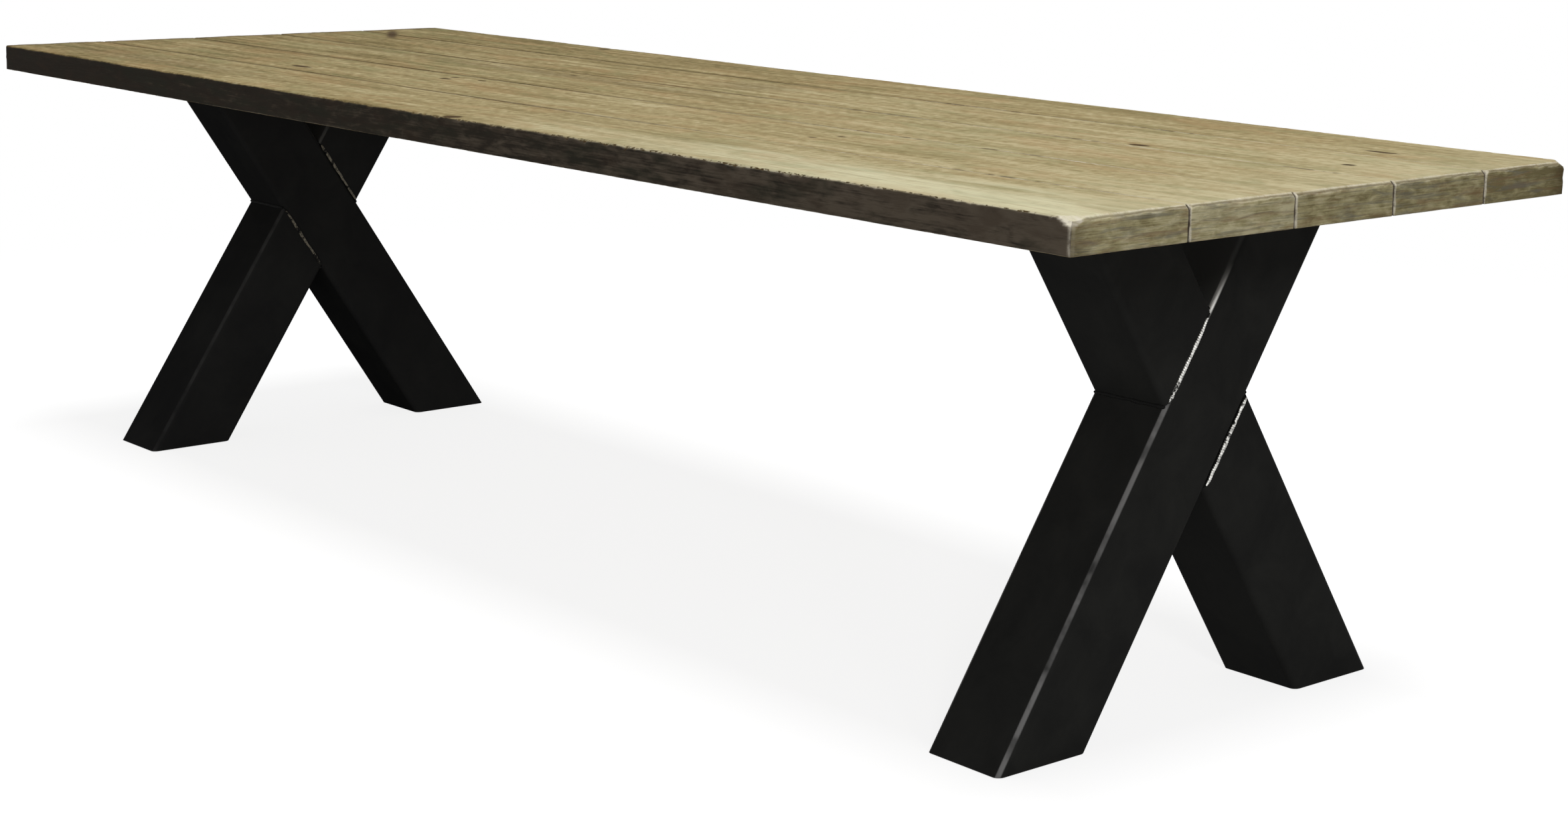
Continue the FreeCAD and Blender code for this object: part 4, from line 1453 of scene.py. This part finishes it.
        # Painted shade along the upper face at the left end.
        worn.mark("grime", self.left_end_shade * hump(inner[LOW, :, X], 0, self.left_end_shade_mm) * upper)
        marks["side"] *= 1 - marks["end"]
        marks["under"] = on_face[LOW, :, Z].astype(float)

    def _bleach(self, worn: WornBoard) -> Array:
        """Bleach the front of the upper face, more towards the right.

        Going in from the arris it ends as 1 / (1 + exp(d)), d being the distance past its reach
        in edge widths. Clouds of noise sway the reach and make it patchy.

        Args:
            worn: the board.

        Returns:
            The bleaching at each point.
        """
        x, y, _ = worn.first.T / MM
        off = worn.inner[LOW, :, Y] / MM
        long, broad = self.bleach_cloud_mm
        cloud = value_noise(x / long, y / broad, worn.board.seed)
        reach, sway, edge = self.bleach_mm
        start, run = self.bleach_run_mm
        arris, gain, least, more = self.bleach_shares
        within = 1 / (1 + np.exp((off - reach - sway * cloud) / edge))
        right = np.clip((x - start) / run, 0, self.bleach_most)
        return within * right * (arris + gain * share(off, 0, reach)) * (least + more * cloud)

    def _seam_darkening(self, along: Array, off_mm: Array, seed: int) -> Array:
        """Darkening on the upper face beside a seam: painted shadow at the left, dashes of dirt at the
        right.

        The darkening fades as exp(-d^2), d being the distance from the seam in widths of that line.

        Args:
            along: place along the table, in metres.
            off_mm: distance from the seam, in millimetres.
            seed: the seed of the dashes.

        Returns:
            The darkening at each point.
        """
        right = self._rightward(along)
        dash_mm, group_mm = self.dash_mm
        dash = share(line_noise(along, dash_mm, seed), NOISE_MIDDLE, self.dash_rise)
        strength, less = self.group_shares
        group = np.clip(strength * line_noise(along, group_mm, seed, PATCH_ROW) - less, 0, 1)
        narrow, more = self.seam_darkening_mm
        # The first share is painted shadow of the seam; the others are dirt.
        shadowed, rub_and_highlight, dashes = self.seam_darkening_shares
        near = hump(off_mm, 0, narrow + more * (1 - right))
        return near * (shadowed * (1 - right) + right * (rub_and_highlight + dashes * dash * group))


@dataclass
class CrossedLeg:
    """One crossed leg: a long square tube, and two short ones welded to its sides."""

    # Which leg, how bare its beads are, and the seed of the first bead.
    leg: Leg
    bare_share: float
    seed: int
    # Half width and height of a bead, and radius of those in the corners between the tubes.
    bead_width_mm: float = 2.5
    bead_height_mm: float = 2.0
    fillet_mm: float = 3.2
    # Pitch of the ripples, how much one swells the bead, and how far it lags at its sides.
    ripple_mm: float = 3.6
    ripple_share: float = 0.28
    ripple_lag: float = 0.8
    # How far a bead strays, and over what length; its least size, what slow swelling adds, and
    # over what length; its least bare share, what patches add, and their length.
    wander_mm: Pair = (0.6, 11.0)
    swell: Pair = (0.75, 0.5)
    swell_mm: float = 16.0
    patch: Pair = (0.55, 0.75)
    patch_mm: float = 9.0
    # Power of the taper at a bead's ends, rings along it and points round it.
    taper: int = 12
    rings: int = 170
    sides: int = 12

    def dress(self, paint: Material, zinc: Material, glide: Material) -> None:
        """Finish the tubes, plates, screws and glides.

        Args:
            paint: finish of the steel.
            zinc: finish of the screws and washers.
            glide: finish of the glides.
        """
        painted = ("long_tube", "upper_tube", "lower_tube", "front_foot_plate", "back_foot_plate")
        finishes = {name: paint for name in (*painted, "top_plate", "plate_welds")}
        finishes |= {"coach_screws": zinc, "washers": zinc, "front_glide": glide, "back_glide": glide}
        for name, finish in finishes.items():
            dress_node(f"{self.leg.value}_{name}", finish)

    def weld(self, finish: Material) -> None:
        """Lay the beads where the short tubes meet the long one.

        Args:
            finish: the beads' material.
        """
        strands = [self._bead(self.seed + number, *seam) for number, seam in enumerate(self._seams())]
        starts = np.cumsum([0] + [len(points) for points, _, _ in strands])
        piece = put_mesh(
            f"{self.leg.value}_cross_beads",
            np.concatenate([points for points, _, _ in strands]),
            np.concatenate([skin + start for (_, skin, _), start in zip(strands, starts)]),
            {"bare": np.concatenate([bare for _, _, bare in strands])},
            finish,
        )
        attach(piece, BODY)
        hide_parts(f"{self.leg.value}_cross_welds")
        LOG.info("%s: %d beads", piece.name, len(strands))

    def _seams(self) -> list[tuple[Array, Array, Array, float, float, float]]:
        """Find the seams from the long tube's box.

        The tube is cut level at both ends, so its span Y, height H and size w tell its lean:
        Y cos(lean) - H sin(lean) = w. Its middle line crosses the table's middle plane at the
        crossing, and a short tube of the same lean the other way meets its side along
        w / sin(2 lean), shifted up or down the long tube by w / tan(2 lean) / 2.

        Returns:
            For each seam: its two ends, the way off the tubes, the bead's half width and height,
            and how bare it is. The beads in the corners stay under their paint.
        """
        low, high = node_box(f"{self.leg.value}_long_tube")
        size, span, height = high - low
        lean = math.acos(size / math.hypot(span, height)) - math.atan2(height, span)
        way = 1.0 if abs(low[Y]) > abs(high[Y]) else -1.0
        foot = way * (min(way * low[Y], way * high[Y]) + size / math.cos(lean) / 2)
        centre = np.array([(low[X] + high[X]) / 2, 0.0, low[Z] + abs(foot) / math.tan(lean)])
        up = np.array([0.0, way * math.sin(lean), math.cos(lean)])
        out = np.array([0.0, -way * math.cos(lean), math.sin(lean)])
        side = np.array([1.0, 0.0, 0.0])
        shift = size / math.tan(2 * lean) / 2
        reach = size / math.sin(2 * lean) / 2
        fillet = self.fillet_mm * MM
        bead = (self.bead_width_mm * MM, self.bead_height_mm * MM, self.bare_share)
        seams = []
        for turn in (1, -1):
            root = centre + turn * (out * size / 2 + up * shift)
            run = turn * up * (reach - 2 * fillet)
            for face in (1, -1):
                skin = root + face * side * size / 2
                seams.append((skin + run, skin - run, face * side, *bead))
            for tip in (1, -1):
                corner = root + turn * tip * up * reach
                across = side * (size / 2 - fillet)
                seams.append((corner - across, corner + across, turn * out, fillet, fillet, 0.0))
        return seams

    def _bead(
        self, seed: int, start: Array, stop: Array, off: Array, width: float, crown: float, bare: float
    ) -> tuple[Array, Array, Array]:
        """Carry an oval along a seam, swollen by ripples and closed to a point at both ends.

        With u from 0 to 1 along the seam and v round it, a point is the seam's point plus
        across * width * r * cos(v) plus off * crown * r * sin(v), and strays sideways by noise.
        The radius r is the end taper (1 - (2u - 1)^12)^0.5, times a slow swell of noise, times 1
        plus the ripple share times |sin| of the ripple's phase, which lags towards the bead's
        sides as cooling metal does.

        Args:
            seed: the seed of its wander.
            start: one end of the seam.
            stop: the other end.
            off: the way off the tubes.
            width: the bead's half width.
            crown: the bead's height.
            bare: how much of it shows bare metal.

        Returns:
            The points, the faces as triangles, and how bare each point is.
        """
        line = stop - start
        length = float(np.linalg.norm(line))
        across = np.cross(line / length, off)
        u = np.linspace(0, 1, self.rings)[1:-1, None]
        v = np.linspace(0, 2 * np.pi, self.sides, endpoint=False)[None, :]
        run = u * length
        stray, stray_mm = self.wander_mm
        wander = (line_noise(run, stray_mm, seed) - NOISE_MIDDLE) * 2 * stray * MM
        swell = self.swell[0] + self.swell[1] * line_noise(run, self.swell_mm, seed, SWELL_ROW)
        taper = np.sqrt(1 - (2 * u - 1) ** self.taper)
        phase = np.pi * run / (self.ripple_mm * MM) + self.ripple_lag * np.abs(np.cos(v))
        radius = taper * swell * (1 + self.ripple_share * np.abs(np.sin(phase)))
        sideways = (wander + width * radius * np.cos(v))[..., None] * across
        outwards = (crown * radius * np.sin(v))[..., None] * off
        rings = start + u[..., None] * line + sideways + outwards
        patches = self.patch[0] + self.patch[1] * line_noise(run, self.patch_mm, seed, PATCH_ROW)
        shown = np.broadcast_to(bare * patches, radius.shape).ravel()
        grid = np.arange(radius.size).reshape(radius.shape)
        beside = np.roll(grid, -1, axis=1)
        a, b, c, d = grid[:-1], beside[:-1], beside[1:], grid[1:]
        first, last = np.full(self.sides, radius.size), np.full(self.sides, radius.size + 1)
        parts = ((a, b, c), (a, c, d), (first, beside[0], grid[0]), (last, grid[-1], beside[-1]))
        skin = np.concatenate([np.stack(part, -1).reshape(-1, 3) for part in parts])
        points = np.concatenate([rings.reshape(-1, 3), start[None, :], stop[None, :]])
        return points, skin, np.concatenate([shown, [0.0, 0.0]])


@dataclass(frozen=True)
class Lamp:
    """A square soft box.

    Attributes:
        name: its name.
        place: where it hangs, in metres.
        target: what it points at.
        side: its side, in metres.
        power: its power, in watts.
    """

    name: str
    place: Triple
    target: Triple
    side: float
    power: float

    def hang(self) -> None:
        """Hang the lamp."""
        light = bpy.data.lights.new(self.name, "AREA")
        light.size, light.energy = self.side, self.power
        holder = bpy.data.objects.new(self.name, light)
        aim = (Vector(self.target) - Vector(self.place)).to_track_quat("-Z", "Y")
        holder.matrix_world = Matrix.Translation(self.place) @ aim.to_matrix().to_4x4()
        bpy.context.scene.collection.objects.link(holder)


@dataclass
class Studio:
    """The floor, the light and the camera, in metres and radians."""

    # Where the camera stands, the way it looks, its focal length and the pixel straight ahead.
    eye: Triple = (3.648, -2.7458, 1.2177)
    yaw: float = 2.4197
    pitch: float = -0.1934
    roll: float = 0.016
    focal_px: float = 4038.4
    middle_px: Pair = (1290.0, 540.0)
    lamps: tuple[Lamp, ...] = (
        Lamp("overhead", (1.8, 0.0, 12.0), (0.0, 0.0, 0.0), 5.7, 850.0),
        Lamp("key", (4.1, -2.2, 2.2), (1.2, -0.2, 0.4), 0.6, 19.0),
        Lamp("fill", (11.0, -5.0, 1.3), (0.0, 0.0, 0.5), 1.5, 150.0),
    )
    # Strength of the even light from all round.
    ambient: float = 0.17
    # The floor near the table: its own brightness, and the share of the lamps' light it adds.
    floor_glow: float = 0.843
    floor_matt: float = 0.4
    # Where the floor starts to turn into the plain white surroundings, and where it has.
    floor_near: float = 1.9
    floor_far: float = 4.0
    floor_half: float = 40.0

    def build(self) -> None:
        """Set the whole studio up."""
        scene = bpy.context.scene
        scene.view_settings.view_transform = "Standard"
        self._floor()
        self._world(scene)
        for lamp in self.lamps:
            lamp.hang()
        self._camera(scene)

    def _seen(self, tree: Tree) -> Socket:
        """1 for rays from the camera, mirrors and glass, and 0 for light on matt surfaces.

        Args:
            tree: the node tree that takes the nodes.

        Returns:
            The value.
        """
        rays = ("Camera", "Glossy", "Transmission")
        seen, *others = (add_node(tree, Kind.LIGHT_PATH, out=f"Is {name} Ray") for name in rays)
        for ray in others:
            seen = add_node(tree, Kind.MATH, LARGER, {0: seen, 1: ray})
        return seen

    def _floor(self) -> None:
        """Lay a pale floor that takes the table's shadow and fades into white all round."""
        made = new_material("pale_floor")
        tree = made.node_tree
        spot = add_node(tree, Kind.COORDINATES, out="Object")
        away = add_node(tree, Kind.VECTOR_MATH, {"operation": "LENGTH"}, {0: spot}, "Value")
        softly = {"interpolation_type": "SMOOTHERSTEP"}
        glow, matt = (
            add_node(tree, Kind.RANGE, softly, spanned(away, (self.floor_near, self.floor_far, *ends)))
            for ends in ((self.floor_glow, 1.0), (self.floor_matt, 0.0))
        )
        shown = add_node(tree, Kind.MATH, MULTIPLY, {0: self._seen(tree), 1: glow})
        light = add_node(tree, Kind.EMISSION, {}, {"Strength": shown})
        paper = add_node(tree, Kind.DIFFUSE, {}, {"Color": matt})
        both = add_node(tree, Kind.ADD_SHADER, {}, {0: light, 1: paper})
        behind = add_node(tree, Kind.GEOMETRY, out="Backfacing")
        clear = add_node(tree, Kind.TRANSPARENT)
        surface = add_node(tree, Kind.MIX_SHADER, {}, {0: behind, 1: both, 2: clear})
        add_node(tree, Kind.OUTPUT, {}, {"Surface": surface})
        half = self.floor_half
        corners = np.array([[-half, -half, 0], [half, -half, 0], [half, half, 0], [-half, half, 0]])
        floor = put_mesh("floor", corners, np.array([[0, 1, 2, 3]]), {}, made)

    def _world(self, scene: bpy.types.Scene) -> None:
        """Surround the table with an even soft light, and with white where it is seen.

        Args:
            scene: the scene that gets the world.
        """
        world = bpy.data.worlds.new("white_studio")
        world.use_nodes = True
        tree = world.node_tree
        tree.nodes.clear()
        parts = {"Factor": self._seen(tree), "A": self.ambient, "B": 1.0}
        sky = {"Color": linear("#ffffff"), "Strength": add_node(tree, Kind.MIX, FLOAT, parts)}
        add_node(tree, Kind.WORLD_OUTPUT, {}, {"Surface": add_node(tree, Kind.BACKGROUND, {}, sky)})
        scene.world = world

    def _camera(self, scene: bpy.types.Scene) -> None:
        """Stand the camera where the photograph was taken from.

        Args:
            scene: the scene that gets the camera.
        """
        lens = bpy.data.cameras.new("photo_view")
        lens.sensor_fit = "HORIZONTAL"
        lens.sensor_width = SENSOR_MM
        lens.lens = self.focal_px / IMAGE_WIDTH_PX * SENSOR_MM
        lens.shift_x = (IMAGE_WIDTH_PX / 2 - self.middle_px[0]) / IMAGE_WIDTH_PX
        lens.shift_y = (self.middle_px[1] - IMAGE_HEIGHT_PX / 2) / IMAGE_WIDTH_PX
        level = math.cos(self.pitch)
        heading = (level * math.cos(self.yaw), level * math.sin(self.yaw), math.sin(self.pitch))
        sight = Vector(heading)
        right = sight.cross(Vector((0, 0, 1))).normalized()
        upright = right.cross(sight)
        turned = right * math.cos(self.roll) + upright * math.sin(self.roll)
        top = upright * math.cos(self.roll) - right * math.sin(self.roll)
        stand = Matrix((turned, top, -sight)).transposed().to_4x4()
        camera = bpy.data.objects.new("photo_view", lens)
        camera.matrix_world = Matrix.Translation(self.eye) @ stand
        scene.collection.objects.link(camera)
        scene.camera = camera


def dress_fixings(paint: Material, zinc: Material) -> None:
    """Finish the stiffener and its screws under the middle of the top, and the loose tongues.

    Args:
        paint: finish of the stiffener.
        zinc: finish of its screws and washers.
    """
    tongue = TONGUE.material()
    for name in ("front_tongue", "front_inner_tongue", "back_inner_tongue", "back_tongue"):
        dress_node(name, tongue)
    dress_node("stiffener_channel", paint)
    dress_node("channel_screws", zinc)
    dress_node("channel_washers", zinc)


def main() -> None:
    """Build the studio, the top and the legs in order."""
    logging.basicConfig(level=logging.INFO, format="%(name)s %(message)s")
    Studio().build()
    PlankTop().build(WeatheredPine().material())
    zinc, glide = ZINC.material(), GLIDE.material()
    # Each leg gets its own copies: the left leg's carry a fainter painted highlight, and its beads
    # painted shade.
    paints = {Leg.RIGHT: STRONG_HIGHLIGHT_PAINT, Leg.LEFT: FAINT_HIGHLIGHT_PAINT}
    beads = {Leg.RIGHT: BRUSHED_BEAD, Leg.LEFT: SHADED_BEAD}
    for leg in (CrossedLeg(Leg.RIGHT, 0.75, 40), CrossedLeg(Leg.LEFT, 0.6, 60)):
        paint = paints[leg.leg].material()
        leg.dress(paint, zinc, glide)
        leg.weld(beads[leg.leg].material())
    dress_fixings(paint, zinc)


if __name__ == "__main__":
    main()
